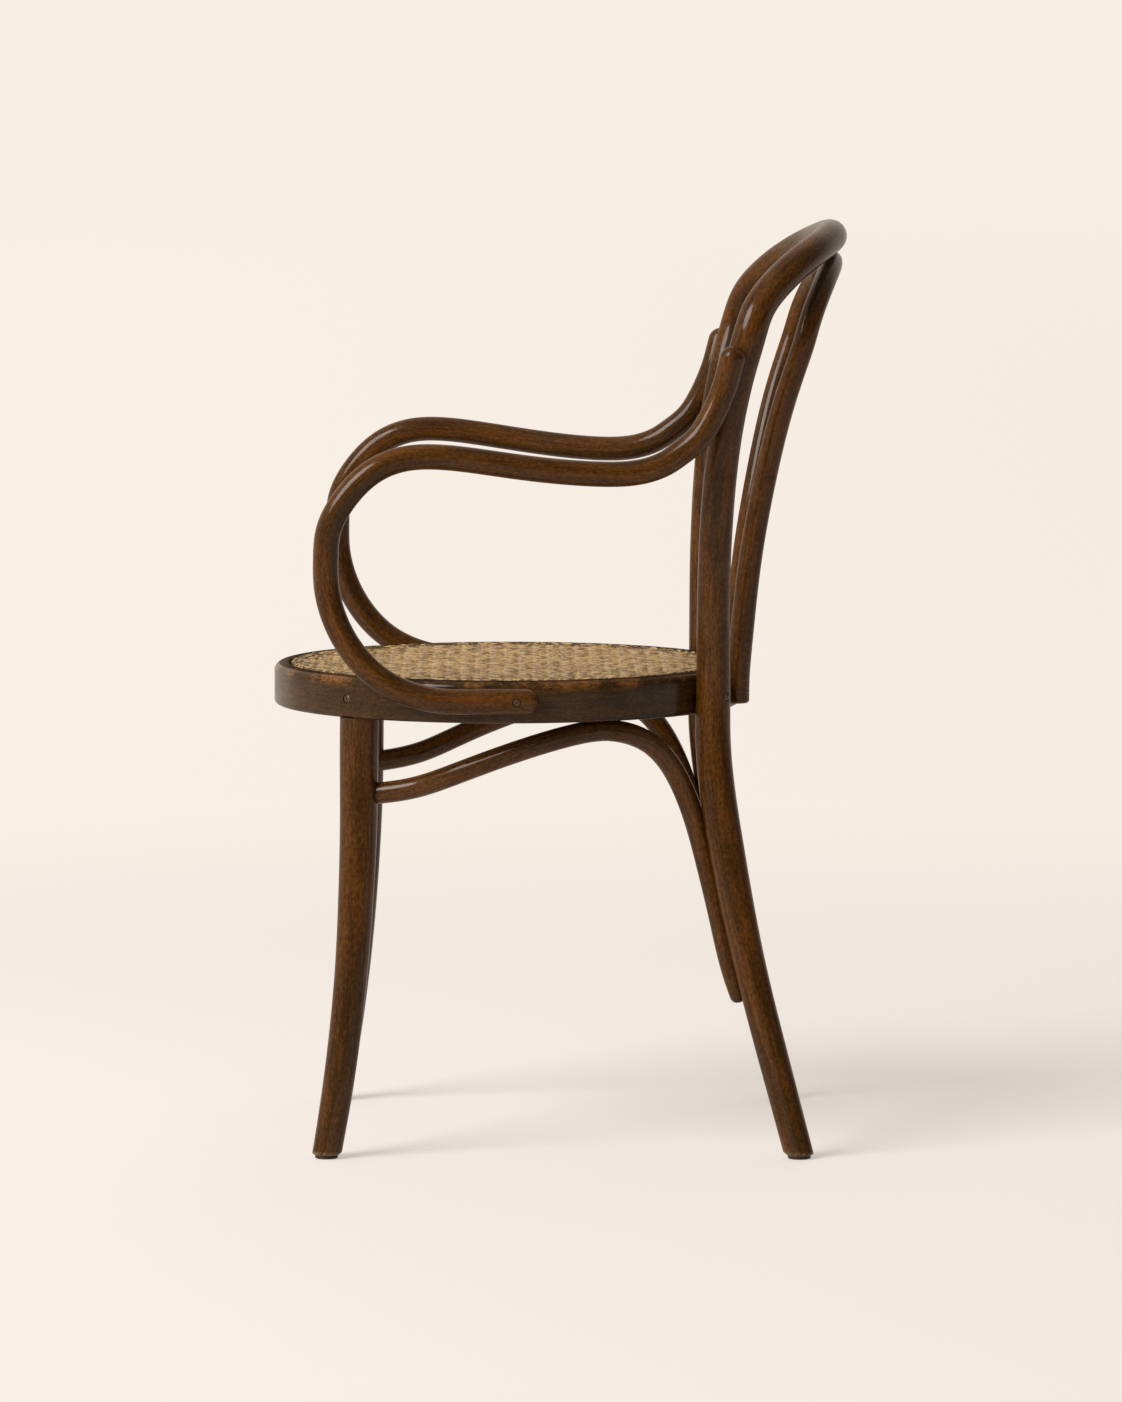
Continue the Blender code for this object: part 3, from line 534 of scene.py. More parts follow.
def meshPoints(piece):
    points = np.zeros(len(piece.data.vertices) * 3)
    piece.data.vertices.foreach_get("co", points)
    return points.reshape(-1, 3)


def fromSeat(piece):
    # the points' x, y and z from the seat's middle
    return (meshPoints(piece) - np.array(seatPlace)).T


def writeGrain(piece, grain):
    store = piece.data.attributes.new("grain", "FLOAT_VECTOR", "POINT")
    store.data.foreach_set("vector", np.asarray(grain, dtype=np.float32).ravel())


def layGrain(piece, route, start):
    # writes each point's place in the unbent rod, so that the grain runs along it
    steps = np.diff(route, axis=0)
    runs = np.linalg.norm(steps, axis=1)
    along = np.concatenate(([0.0], np.cumsum(runs)))
    heading = np.vstack((steps, steps[-1:])) / np.append(runs, runs[-1])[:, None]
    side = np.cross(heading[0], (0.31, 0.53, 0.79))
    sides = []
    for way in heading:
        side = side - way * (side @ way)
        side = side / np.linalg.norm(side)
        sides.append(side)
    sides = np.array(sides)
    ups = np.cross(heading, sides)
    points = meshPoints(piece)
    near = np.concatenate([
        np.argmin(((part[:, None] - route) ** 2).sum(2), axis=1)
        for part in np.array_split(points, len(points) // 2000 + 1)
    ])  # in parts, to spare memory
    offset = points - route[near]
    writeGrain(piece, np.column_stack((
        (offset * sides[near]).sum(1), (offset * ups[near]).sum(1),
        start + along[near] + (offset * heading[near]).sum(1),
    )))


# Shaders

def maths(operation, swapped=False):
    # an operator that adds a Math node
    def act(self, other=0.0):
        pair = (other, self) if swapped else (self, other)
        return self.finish.add("ShaderNodeMath", dict(enumerate(pair)), operation=operation)

    return act


class Value:
    # a socket's value, with Python's operators
    def __init__(self, finish, socket):
        self.finish = finish
        self.socket = socket

    __add__ = __radd__ = maths("ADD")
    __sub__ = maths("SUBTRACT")
    __rsub__ = maths("SUBTRACT", True)
    __mul__ = maths("MULTIPLY")
    __abs__ = maths("ABSOLUTE")


class Finish:
    # the nodes of one material, or of the world
    def __init__(self, name, tree=None):
        self.tree = tree
        if tree is None:
            self.material = bpy.data.materials.new(name)
            self.material.use_nodes = True
            self.tree = self.material.node_tree
            self.shader = self.tree.nodes["Principled BSDF"]

    def add(self, kind, values, output=0, **settings):
        node = self.tree.nodes.new(kind)
        for key, value in settings.items():
            setattr(node, key, value)
        self.feed(node, values)
        return Value(self, node.outputs[output])

    def feed(self, node, values):
        for key, value in values.items():
            if isinstance(value, Value):
                self.tree.links.new(value.socket, node.inputs[key])
            else:
                node.inputs[key].default_value = value

    def noise(self, where, scale, detail=3.0, roughness=0.5):
        return self.add("ShaderNodeTexNoise", {
            "Vector": where, "Scale": scale, "Detail": detail, "Roughness": roughness,
        }, "Fac")

    def place(self, kind="Object"):
        return self.add("ShaderNodeTexCoord", {}, kind)

    def stored(self, name, output="Vector"):
        return self.add("ShaderNodeAttribute", {}, output, attribute_name=name)

    def vector(self, operation, *values, output=0):
        return self.add("ShaderNodeVectorMath", dict(enumerate(values)), output, operation=operation)

    def stretch(self, where, amounts):
        return self.vector("MULTIPLY", where, amounts)

    def parts(self, where):
        return [self.add("ShaderNodeSeparateXYZ", {0: where}, i) for i in range(3)]

    def between(self, value, low, high, start=0.0, end=1.0):
        return self.add("ShaderNodeMapRange", {
            "Value": value, "From Min": low, "From Max": high, "To Min": start, "To Max": end,
        }, interpolation_type="SMOOTHSTEP")

    def mix(self, share, first, second, blend="MIX"):
        return self.add(
            "ShaderNodeMix", {0: share, 6: first, 7: second}, 2, data_type="RGBA", blend_type=blend)

    def bump(self, height, strength, distance):
        return self.add("ShaderNodeBump", {
            "Height": height, "Strength": strength, "Distance": distance,
        })


wood = {
    "dark": (0.037, 0.0154, 0.003, 1),
    "middle": (0.053, 0.0206, 0.0032, 1),
    "amber": (0.112, 0.0372, 0.0042, 1),
    # the pores' colour, also painted as shade on the hoop's flat top
    "poreAndShade": (0.012, 0.006, 0.003, 1),
    "worn": (0.15, 0.09, 0.045, 1),
    # painted reflection: the grey haze of the backdrop on the crest's top and the hoop's front
    "reflectedHaze": (0.128, 0.1, 0.064, 1),
    "roughness": 0.42,
    "coat": 0.32,
    "coatRoughness": 0.13,
    "reflectedHazeAside": (0.05, 0.14),  # where a grey haze of reflection is painted on the crest: to the side, and in height
    "reflectedHazeUp": (0.8, 0.86),
    "wornFoot": (0.0055, 0.0085),  # height of the worn rim of a foot
}
hoopWood = {
    "dark": (0.03, 0.0142, 0.0036, 1),
    "middle": (0.04, 0.0186, 0.0046, 1),
    "amber": (0.062, 0.0264, 0.006, 1),
    "worn": (0.19, 0.072, 0.0165, 1),
    "wornDrop": (0.012, 0.003),  # below the hoop's top, where the wear starts and is full
    "shadedTopDrop": (0.0014, 0.0003),  # the same for painted shade on the hoop's flat top, which is also made dull
    "reflectedHazeAhead": (0.232, 0.205),  # where a grey haze of reflection is painted on the hoop's front, from the seat's middle
}


def woodFinish(name, colours=wood):
    finish = Finish(name)
    mix, between = finish.mix, finish.between
    grain = finish.stored("grain")
    place = finish.place()
    fibres, pores, streaks, bands, specks = (
        finish.noise(finish.stretch(grain, (1.0, 1.0, along)), *kind) for along, *kind in (
            (0.05, 900, 3, 0.65), (0.12, 1000, 1, 0.5), (0.07, 210, 4, 0.65), (0.1, 75, 2, 0.5),
            (0.55, 420, 4, 0.7),
        )
    )  # share of the scale along the grain, scale, detail, roughness
    clouds = finish.noise(place, 26, 4, 0.6)
    tone = between(streaks * 0.5 + bands * 0.25 + clouds * 0.25, 0.36, 0.64)
    colour = mix(tone, colours["dark"], colours["middle"])
    glow = between(bands * 0.35 + streaks * 0.35 + specks * 0.3, 0.4, 0.64)
    colour = mix(glow * 0.8, colour, colours["amber"])
    aside, along, height = finish.parts(place)
    coat = wood["coat"] + (clouds - 0.5) * 0.4
    dullness = wood["roughness"] + (specks - 0.5) * 0.3 + (fibres - 0.5) * 0.12
    if colours is hoopWood:
        high = between(height, *(seatTop - drop for drop in colours["wornDrop"]))
        worn = high * between(specks * 0.3 + clouds * 0.7, 0.46, 0.58)
        colour = mix(worn * 0.7, colour, colours["worn"])
        # painted shade: the hoop's flat top darkened toward the pores' colour, and made dull without coat
        flat = between(height, *(seatTop - drop for drop in colours["shadedTopDrop"]))
        colour = mix(flat * 0.72, colour, wood["poreAndShade"])
        coat = coat * (1.0 - flat)
        dullness = dullness + flat * 0.4
        # painted reflection: grey haze on the hoop's front
        hazeShare = 1.0 - between(along, *(seatPlace.y - ahead for ahead in colours["reflectedHazeAhead"]))
    else:
        low = 1.0 - between(height, *wood["wornFoot"])
        colour = mix(low * between(specks, 0.35, 0.55) * 0.8, colour, colours["worn"])
        # painted reflection: grey haze on the crest's top
        hazeShare = 1.0 - between(abs(aside), *wood["reflectedHazeAside"])
        hazeShare = hazeShare * between(height, *wood["reflectedHazeUp"])
    # painted reflection: a grey haze mixed into the colour
    colour = mix(hazeShare * (0.3 + clouds) * 0.85, colour, wood["reflectedHaze"])
    colour = mix(1.0, colour, between(specks, 0.3, 0.7, 0.74, 1.26), "MULTIPLY")
    colour = mix(1.0, colour, between(fibres, 0.35, 0.65, 0.84, 1.16), "MULTIPLY")
    colour = mix(between(pores, 0.62, 0.74) * 0.6, colour, wood["poreAndShade"])
    finish.feed(finish.shader, {
        "Base Color": colour,
        "Roughness": dullness,
        "Specular IOR Level": 0.02,
        "Coat Weight": coat,
        "Coat Roughness": wood["coatRoughness"],
        "Normal": finish.bump(fibres * 0.35 + streaks * 0.35 + specks * 0.3, 0.3, 0.0003),
    })
    return finish.material


cane = {
    "pitch": 0.0142,  # between pairs of strands
    "width": 0.0028,
    "diagonalWidth": 0.0033,
    "apart": 0.0033,  # between the two strands of a pair
    "thickness": 0.0006,
    "uneven": 0.001,  # in the pairs' places
    "sway": 0.0006,  # to either side of the strand's line
    "swayRate": 15.5,  # radians for each metre along it
    "shortest": 0.02,  # half a strand
    "wave": 0.00035,  # of the straight strands
    "diagonalWave": 0.00015,
    "over": 0.00045,  # the falling slants above the rising ones
    "middle": 0.0015,  # below the ring's top
    "radius": 0.2095,  # the strands' ends, in the groove
    "dip": 0.0012,  # down into the groove
    "dipRun": 0.0035,
    "edge": (0.165, 0.205),  # from the seat's middle, where painted shade near the hoop deepens the stains
    "pale": (0.51, 0.33, 0.134, 1),
    "tan": (0.335, 0.205, 0.077, 1),
    "brown": (0.094, 0.051, 0.016, 1),
}
scatter = 2.4  # radians from a strand to the next, whose sines look random
nextAside, nextAlong = 0.37, 0.61  # from its place in the grain to the next one's


def caneFinish(name, shade=1.0, shadedEnds=False):
    finish = Finish(name)
    mix, between = finish.mix, finish.between
    pale, tan = ([part * shade for part in cane[tone][:3]] + [1] for tone in ("pale", "tan"))
    grain = finish.stored("grain")
    place = finish.place()
    across = finish.parts(grain)[1]
    strand = finish.noise(finish.stretch(grain, (90.0, 0.0, 0.0)), 1.0, 0)
    fibres = finish.noise(finish.stretch(grain, (300.0, 5200.0, 55.0)), 1.0, 2)
    joints = finish.noise(finish.stretch(grain, (900.0, 0.0, 110.0)), 1.0, 2, 0.6)
    dashes = finish.noise(finish.stretch(place, (34.0, 78.0, 0.0)), 1.0, 2, 0.6)
    specks = finish.noise(finish.stretch(place, (70.0, 150.0, 0.0)), 1.0, 2, 0.6)
    clouds = finish.noise(place, 30, 3)
    tone = between(strand * 0.35 + joints * 0.4 + clouds * 0.25, 0.32, 0.62)
    colour = mix(tone, tan, pale)
    level = finish.stretch(finish.vector("SUBTRACT", place, seatPlace), (1.0, 1.0, 0.0))
    away = finish.vector("LENGTH", level, output="Value")
    edge = between(away, *cane["edge"])
    # random stains, with painted shade growing towards the hoop
    stainAndShade = between(dashes * 0.45 + specks * 0.55 + edge * 0.02, 0.46, 0.58) * (0.7 + edge * 0.22)
    stainAndShade = stainAndShade + between(joints, 0.58, 0.78) * 0.3
    colour = mix(stainAndShade, colour, cane["brown"])
    # painted shade: each strand darkened towards brown at its edges
    colour = mix(between(abs(across), 0.0009, 0.0014) * 0.15, colour, cane["brown"])
    # painted shade: each loop's ends darkened to brown where it dives into the weave, as slits of shade
    # between loops
    if shadedEnds:
        ends = finish.stored("ends", "Fac")
        colour = mix(between(ends, 0.38, 0.76) * 0.92, colour, cane["brown"])
    finish.feed(finish.shader, {
        "Base Color": colour,
        "Roughness": 0.45 + (fibres - 0.5) * 0.25,
        "Specular IOR Level": 0.12,
        "Normal": finish.bump(fibres, 0.3, 0.0001),
    })
    return finish.material


steel = {
    "bare": (0.135, 0.078, 0.04, 1),
    "brown": (0.07, 0.036, 0.017, 1),
    "black": (0.03, 0.022, 0.016, 1),
}


def steelFinish(name, dull, colour="bare"):
    finish = Finish(name)
    rust = finish.noise(finish.place(), 900, 4, 0.65)
    colour = finish.mix(finish.between(rust, 0.36, 0.6), steel[colour], steel["brown"])
    finish.feed(finish.shader, {
        "Base Color": colour,
        "Metallic": 0.7 - finish.between(rust, 0.4, 0.65) * 0.6,
        "Roughness": dull + (rust - 0.5) * 0.3,
        "Normal": finish.bump(rust, 0.3, 0.0001),
    })
    return finish.material


# Finished pieces

def finishPiece(piece, material, slotName, *nodes):
    piece.data.materials.clear()
    piece.data.materials.append(material)
    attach(piece, "root")
    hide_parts(*nodes)


def finishRod(bent, cutters, start, *looks):
    # a rod with its route, its grain's place and what finishPiece takes
    rod, route = bent
    carve(rod, cutters)
    layGrain(rod, route, start)
    smoothShade(rod)
    finishPiece(rod, *looks)


def ringProfile(grow, fine):
    outside, top, under = seatR + grow, seatTop + grow, seatUnder - grow
    topR, lowR, inR = seat["topRound"], seat["bottomRound"], seat["innerRound"]
    return (
        arc((outside - topR, top - topR), topR, 90, 0, fine)
        + arc((outside - lowR, under + lowR), lowR, 0, -90, fine // 2)
        + arc((ringInside + inR, under + inR), inR, -90, -180, 3)
    )


def ringCutter():
    return seated(turnProfile("ringCutter", ringProfile(touch, 6) + [(ringInside, seatTop + touch)], 160))


screws = {
    "headR": 0.0042,
    "dome": 0.0011,
    "cone": 0.0026,
    "shankR": 0.0019,
    "point": 0.006,
    "slotWidth": 0.0012,
    "slotDepth": 0.001,
    "sink": 0.0012,
    "clear": 0.0126,  # the bore's height over the head
    "fit": 0.0003,
    "steps": 32,
}
screwPieces = []


def screwBore(length):
    fit, clear = screws["fit"], screws["clear"]
    head, shank = screws["headR"] + fit, screws["shankR"] + fit
    return turnProfile("bore", [
        (0, clear), (head, clear), (head, -fit), (shank, -screws["cone"] - fit),
        (shank, screws["point"] - length), (0, -length - 2 * fit),
    ], 28)


def screwBody(name, length, turn):
    head, dome, shank, cone = (screws[k] for k in ("headR", "dome", "shankR", "cone"))
    profile = [(head * sin(radians(18 * i)), dome * cos(radians(18 * i))) for i in range(6)]
    profile += [(head, -screws["fit"]), (shank, -cone), (shank, screws["point"] - length), (0, -length)]
    body = turnProfile(name, profile, screws["steps"])
    carve(body, [block(
        moved((0, 0, dome)) @ Matrix.Rotation(radians(turn), 4, "Z")
        @ Matrix.Diagonal((head * 3, screws["slotWidth"], screws["slotDepth"] * 2, 1))
    )])
    return body


def setScrew(name, length, turn, side, place, outward):
    # a screw with its head at a place on the left, or mirrored to the right, and its bore
    place, outward = (Vector((side * x, y, z)) for x, y, z in (place, outward))
    body = aimed(screwBody(name + "_fine", length, turn), place, outward)
    smoothShade(body, 32)
    screwPieces.append((body, name))
    return aimed(screwBore(length), place, outward)


feet = {
    "glideHeight": 0.0025,
    "glideR": 0.0112,
    "nailR": 0.0014,
    "nailLength": 0.016,
    "nailPoint": 0.003,
    "rimRound": 0.0006,  # of the glide, under the foot
    "soleRound": 0.0013,
    "chamfer": 0.0028,
    "slope": 0.9,
    "steps": 48,
}


def footTrim(x, y, footR):
    sole = feet["glideHeight"] + touch
    wide = footR * 3
    flat = footR - feet["chamfer"]
    return seated(turnProfile("footTrim", [
        (0, sole), (flat, sole), (flat + feet["chamfer"] * 0.3, sole + feet["chamfer"] * 0.22),
        (flat + wide, sole + wide * feet["slope"]), (flat + wide, -wide), (0, -wide),
    ], feet["steps"]), x, y)


glidePieces = []


def footGlide(name, x, y):
    top, wide, nailR = feet["glideHeight"], feet["glideR"], feet["nailR"]
    nailTop, rimR, soleR = top + feet["nailLength"], feet["rimRound"], feet["soleRound"]
    glide = seated(turnProfile(
        name + "_fine",
        [(0, nailTop), (nailR, nailTop - feet["nailPoint"]), (nailR, top)]
        + arc((wide - rimR, top - rimR), rimR, 90, 0, 3)
        + arc((wide - soleR, soleR), soleR, 0, -90, 5) + [(0, 0)], feet["steps"],
    ), x, y)
    smoothShade(glide)
    glidePieces.append((glide, name))


# The rods, with their screws

legRows = frontLegRows()
legHalf = backLegHalf()
postRows = postHalf()
sides = ((1, "left"), (-1, "right"))
bores = {}


def fromRing(x, y, past):
    # the head's place past the ring's outside, and the way out
    outward = Vector((x, y, 0)).normalized()
    return outward * (seatR + past - screws["sink"]) + Vector((0, 0, screwLine)), outward


def intoRod(x, y, z, r, turn, way):
    # a head sunk into a rod's inner side, turned from straight across, ahead or back
    inward = Vector((-cos(radians(turn)), way * sin(radians(turn)), 0))
    return Vector((x, y, z)) + inward * (r - screws["sink"]), inward


def sideScrews():
    # what is bored, name, length, the slot's turn, the head's place and its way out
    begin, second, *_ = route = braceRows()
    apex = route[6]
    ahead = Vector((begin[0] - second[0], begin[1] - second[1], 0)).normalized()
    legR = atHeight(legRows, brace["height"])[3]
    deep = sqrt(legR ** 2 - brace["inset"] ** 2) - screws["sink"]
    armHead = armX + armRest["r"] - armRest["flat"] - screws["sink"] / 2
    return (
        ("bow", "post_screw_", 0.056, 70, *fromRing(
            *onRing(backBow["angle"], 1), 2 * backBow["seatR"] - backBow["notch"])),
        ("inner", "inner_bow_screw_", 0.038, 20, *fromRing(
            *onRing(innerBow["angle"], 1), 2 * innerBow["lowR"] - innerBow["notch"])),
        ("ring", "leg_pin_screw_", 0.024, 110, *fromRing(*legRows[0][:2], 0)),
        ("leg", "brace_front_screw_", 0.036, 50, Vector(begin[:3]) + ahead * deep, ahead),
        ("brace", "brace_seat_screw_", 0.032, 15,
            (apex[0], apex[1], apex[2] - brace["r"] + screws["sink"]), (0, 0, -1)),
        ("brace", "brace_leg_screw_", 0.036, 80, *intoRod(
            *besideBackLeg(brace["screwUp"]), brace["legTurn"], -1)),
        ("arm", "arm_seat_screw_", 0.04, 35, (armHead, armRest["screwBack"], armZ), (1, 0, 0)),
        ("bow", "arm_post_screw_", 0.042, 60, *intoRod(
            *atHeight(postRows, armTip - armRest["grip"] / 2), armRest["postTurn"], 1)),
    )


for side, hand in sides:
    for bored, name, length, turn, place, outward in sideScrews():
        holder = bored if bored in ("bow", "inner", "ring") else bored + hand
        bores.setdefault(holder, []).append(setScrew(name + hand, length, turn, side, place, outward))
head = (0, backBow["crestReach"], innerCrestZ - innerBow["topR"] + screws["sink"])
bores["inner"].append(setScrew("crest_screw", 0.034, 25, 1, head, (0, 0, -1)))
print("screws set:", len(screwPieces))

bowHalf = legHalf[::-1] + postRows
bow = bendRod("bow_rod", bowHalf + mirrored(bowHalf[-2::-1]))
footX, footY, _, footR = atHeight(legHalf, feet["glideHeight"])
for side, hand in sides:
    bores["bow"].append(footTrim(side * footX, footY, footR))
    footGlide("glide_back_" + hand, side * footX, footY)
cutters = [ringCutter(), joined(bores["bow"])]
finishRod(bow, cutters, 0.0, woodFinish("bow wood"), "bow_wood", "back_bow")

innerRows = innerHalf()
inner = bendRod(
    "inner_bow_rod", innerRows + mirrored(innerRows[-2::-1]), innerBow["endRound"], innerBow["endRound"],
)
cutters = [ringCutter(), joined(bores["inner"])]
finishRod(inner, cutters, 5.0, woodFinish("inner bow wood"), "inner_bow_wood", "inner_bow")
print("bows bent")


def armFlat(side):
    # a block turned a little, so that its face leaves the arm ahead of the end
    turn = atan2(armRest["flat"], armRest["flatRun"])
    face = Vector((side * (armX + armRest["r"] - armRest["flat"]), armRest["endBack"], armZ)) + seatPlace
    thick, *_ = size = armRest["paring"]
    return block(
        moved(face) @ Matrix.Rotation(side * turn, 4, "Z")
        @ moved((side * thick / 2, 0, 0)) @ Matrix.Diagonal((*size, 1))
    )


armWood, legWood, braceWood = (woodFinish(kind + " wood") for kind in ("arm", "leg", "brace"))
footX, footY, _, footR = atHeight(legRows, feet["glideHeight"])
for side, hand in sides:
    arm = bendRod("arm_rod_" + hand, mirrored(armRows(), side), armRest["r"], armRest["r"])
    cutters = [ringCutter(), joined(bores["arm" + hand]), armFlat(side)]
    finishRod(arm, cutters, 10.0 + 2 * side, armWood, "arm_wood", "arm_" + hand)

    leg = bendRod("front_leg_turned_" + hand, mirrored(legRows, side))
    cutters = [joined(bores["leg" + hand] + [footTrim(side * footX, footY, footR)])]
    finishRod(leg, cutters, 20.0 + 2 * side, legWood, "leg_wood", "front_leg_" + hand)
    footGlide("glide_front_" + hand, side * footX, footY)

    strut = bendRod("brace_rod_" + hand, mirrored(braceRows(), side), 0.0, brace["endR"])
    cutters = [ringCutter(), joined(bores["brace" + hand])]
    finishRod(strut, cutters, 30.0 + 2 * side, braceWood, "brace_wood", "leg_brace_" + hand)
print("arms, legs and braces bent")

# Seat hoop

edge, landEdge = seat["edgeRound"], seat["landRound"]
grooveOut = seatR - seat["grooveInset"] + seat["grooveWear"]
grooveIn = grooveOut - seat["grooveWear"] - seat["grooveWidth"]
grooveFloor = seatTop - seat["grooveDepth"]
land = seatTop - seat["landDrop"]
hoop = seated(turnProfile("seat_hoop", ringProfile(0.0, 10) + [
    (ringInside, land - landEdge), (ringInside + landEdge, land), (grooveIn, land),
    (grooveIn, grooveFloor), (grooveOut, grooveFloor), (grooveOut, seatTop - edge),
    (grooveOut + edge, seatTop),
], seat["steps"]))
carve(hoop, [joined(bores["ring"])])
x, y, z = fromSeat(hoop)
writeGrain(hoop, np.column_stack((np.hypot(x, y), z, 40.0 + seatR * np.arctan2(x, -y))))
smoothShade(hoop)
finishPiece(hoop, woodFinish("hoop wood", hoopWood), "ring_wood", "seat_ring")
print("seat hoop turned")


# Cane

def weaveStrands(name, starts, way, width, heightAt, step):
    # flat strands with a crowned top along chords of the seat, all one way, in one mesh
    half, thick = width / 2, cane["thickness"] / 2
    bpy.ops.curve.primitive_nurbs_path_add()
    section = bpy.context.object
    section.data.splines.clear()
    outline = section.data.splines.new("POLY")
    outline.use_cyclic_u = True
    outline.points.add(5)
    for knot, (a, b) in zip(outline.points, (
        (-1.0, 0.2), (-0.6, 1.0), (0.6, 1.0), (1.0, 0.2), (0.8, -1.0), (-0.8, -1.0),
    )):
        knot.co = (a * half, b * thick, 0, 1)
    way = Vector(way).normalized()
    lines, strands = [], []
    for number, start in enumerate(starts):
        middle = Vector(start) - way * Vector(start).dot(way)
        reach = cane["radius"] ** 2 - middle.length_squared
        if reach < cane["shortest"] ** 2:
            continue
        reach = sqrt(reach)
        count = max(6, int(2 * reach / step))
        rows = []
        for i in range(count + 1):
            spot = middle + way * reach * (2 * i / count - 1)
            rim = min(1.0, max(0.0, (spot.length - cane["radius"] + cane["dipRun"]) / cane["dipRun"]))
            sway = sin(cane["swayRate"] * 2 * reach * i / count + scatter * number)
            spot += Vector((-way.y, way.x)) * cane["sway"] * sway
            z = seatTop - cane["middle"] + heightAt(spot) * (1 - rim) - cane["dip"] * rim * rim
            rows.append((spot.x, spot.y + seatPlace.y, z, 1.0))
        strands.append(rows)
        lines.append((-way.y * middle.x + way.x * middle.y, number))
    piece = drawCurve(name, strands, 0, section)
    bpy.data.objects.remove(section)
    x, y, _ = fromSeat(piece)
    aside = y * way.x - x * way.y
    offsets, numbers = np.array(lines).T
    near = np.argmin(np.abs(aside[:, None] - offsets), axis=1)
    writeGrain(piece, np.column_stack((
        numbers[near] * nextAside + 1.0, aside - offsets[near],
        x * way.x + y * way.y + numbers[near] * nextAlong,
    )))
    smoothShade(piece, 50)
    return piece


def weaveCane():
    pitch = cane["pitch"]
    half = int(cane["radius"] / pitch) + 1
    pairs = [i * pitch + cane["uneven"] * sin(scatter * i) for i in range(-half, half + 1)]
    places = [at + push for at in pairs for push in (-cane["apart"] / 2, cane["apart"] / 2)]
    warp, weft = [(at, 0) for at in places], [(0, at) for at in places]
    slants = [((m + 0.5) * pitch, 0) for m in range(-2 * half, 2 * half)]

    def crossing(along, aside):
        return cane["wave"] * cos(pi * (along / pitch + round(aside / pitch)))

    def slanted(spot):
        return cane["diagonalWave"] * cos(2 * pi * spot.x / pitch)

    straight, diagonal = (cane["width"], pitch / 3), (cane["diagonalWidth"], pitch * sqrt(2) / 6)
    # painted light and shade: the weft is darkened and the warp and slanting strands lightened, to even
    # out shade and reflection between rows of holes
    along, across, slanting = (caneFinish(*one) for one in (
        ("long cane", 0.64), ("cross cane", 1.04), ("slanting cane", 1.18),
    ))
    for name, starts, way, heightAt, (width, step), finish in (
        ("cane_warp", warp, (0, 1), lambda spot: crossing(spot.y, spot.x), straight, across),
        ("cane_weft", weft, (1, 0), lambda spot: -crossing(spot.x, spot.y), straight, along),
        ("cane_falling", slants, (1, 1), lambda spot: cane["over"] + slanted(spot), diagonal, slanting),
        ("cane_rising", slants, (-1, 1), lambda spot: -slanted(spot), diagonal, slanting),
    ):
        strands = weaveStrands(name, starts, way, width, heightAt, step)
        finishPiece(strands, finish, "cane", "cane_panel")


weaveCane()
print("cane woven")

reed = {
    "in": 0.2103,
    "out": 0.2132,
    "proud": -0.0009,  # under the hoop's flat top
    "crownR": 0.00145,
    "crownDrop": 0.0011,
    "loops": 101,
    "loopWidth": 0.0034,
    "loopRise": 0.0014,
    "loopLength": 1.08,  # of the way from one to the next
    "flatness": 0.55,
    "sunk": 0.0015,  # the loops' ends, below the ring's top
    "outerRow": 0.2112,
    "innerRow": 0.2068,
    "slant": 0.0016,
    "lower": 0.22,  # the inner row's humps, as a share
    "uneven": 0.16,
}


def layReed():
    middle = (reed["in"] + reed["out"]) / 2
    top = seatTop + reed["proud"]
    crown = arc((middle, top - reed["crownDrop"]), reed["crownR"], 160, 20, 8)
    strip = seated(turnProfile(
        "cane_reed_ring", crown + [(reed["out"], grooveFloor + touch), (reed["in"], grooveFloor + touch)],
        seat["steps"],
    ))
    x, y, _ = fromSeat(strip)
    writeGrain(strip, np.column_stack((np.full_like(x, 3.0), np.zeros_like(x), 0.2 * np.arctan2(x, -y))))
    smoothShade(strip)
    finishPiece(strip, caneFinish("reed skin"), "cane_reed", "cane_spline")


def braidLoop():
    # one hump of the braid, lying along Y
    half = reed["loopWidth"] / 2
    long = 2 * pi * reed["outerRow"] / reed["loops"] * reed["loopLength"]
    rows = []
    for i in range(9):
        share = i / 8 - 0.5
        lift = max(0.0, cos(pi * share)) ** 0.8 * reed["loopRise"] / reed["flatness"]
        thick = half * (1 - 0.5 * abs(2 * share) ** 3)
        rows.append((reed["slant"] * 2 * share, share * long, lift, thick))
    hump = drawCurve("hump", [rows], 1)
    cleanMesh(hump)
    hump.data.transform(Matrix.Diagonal((1, 1, reed["flatness"], 1)))
    ends = np.abs(meshPoints(hump)[:, 1]) / long * 2
    hump.data.attributes.new("ends", "FLOAT", "POINT").data.foreach_set("value", ends.astype(np.float32))
    return hump


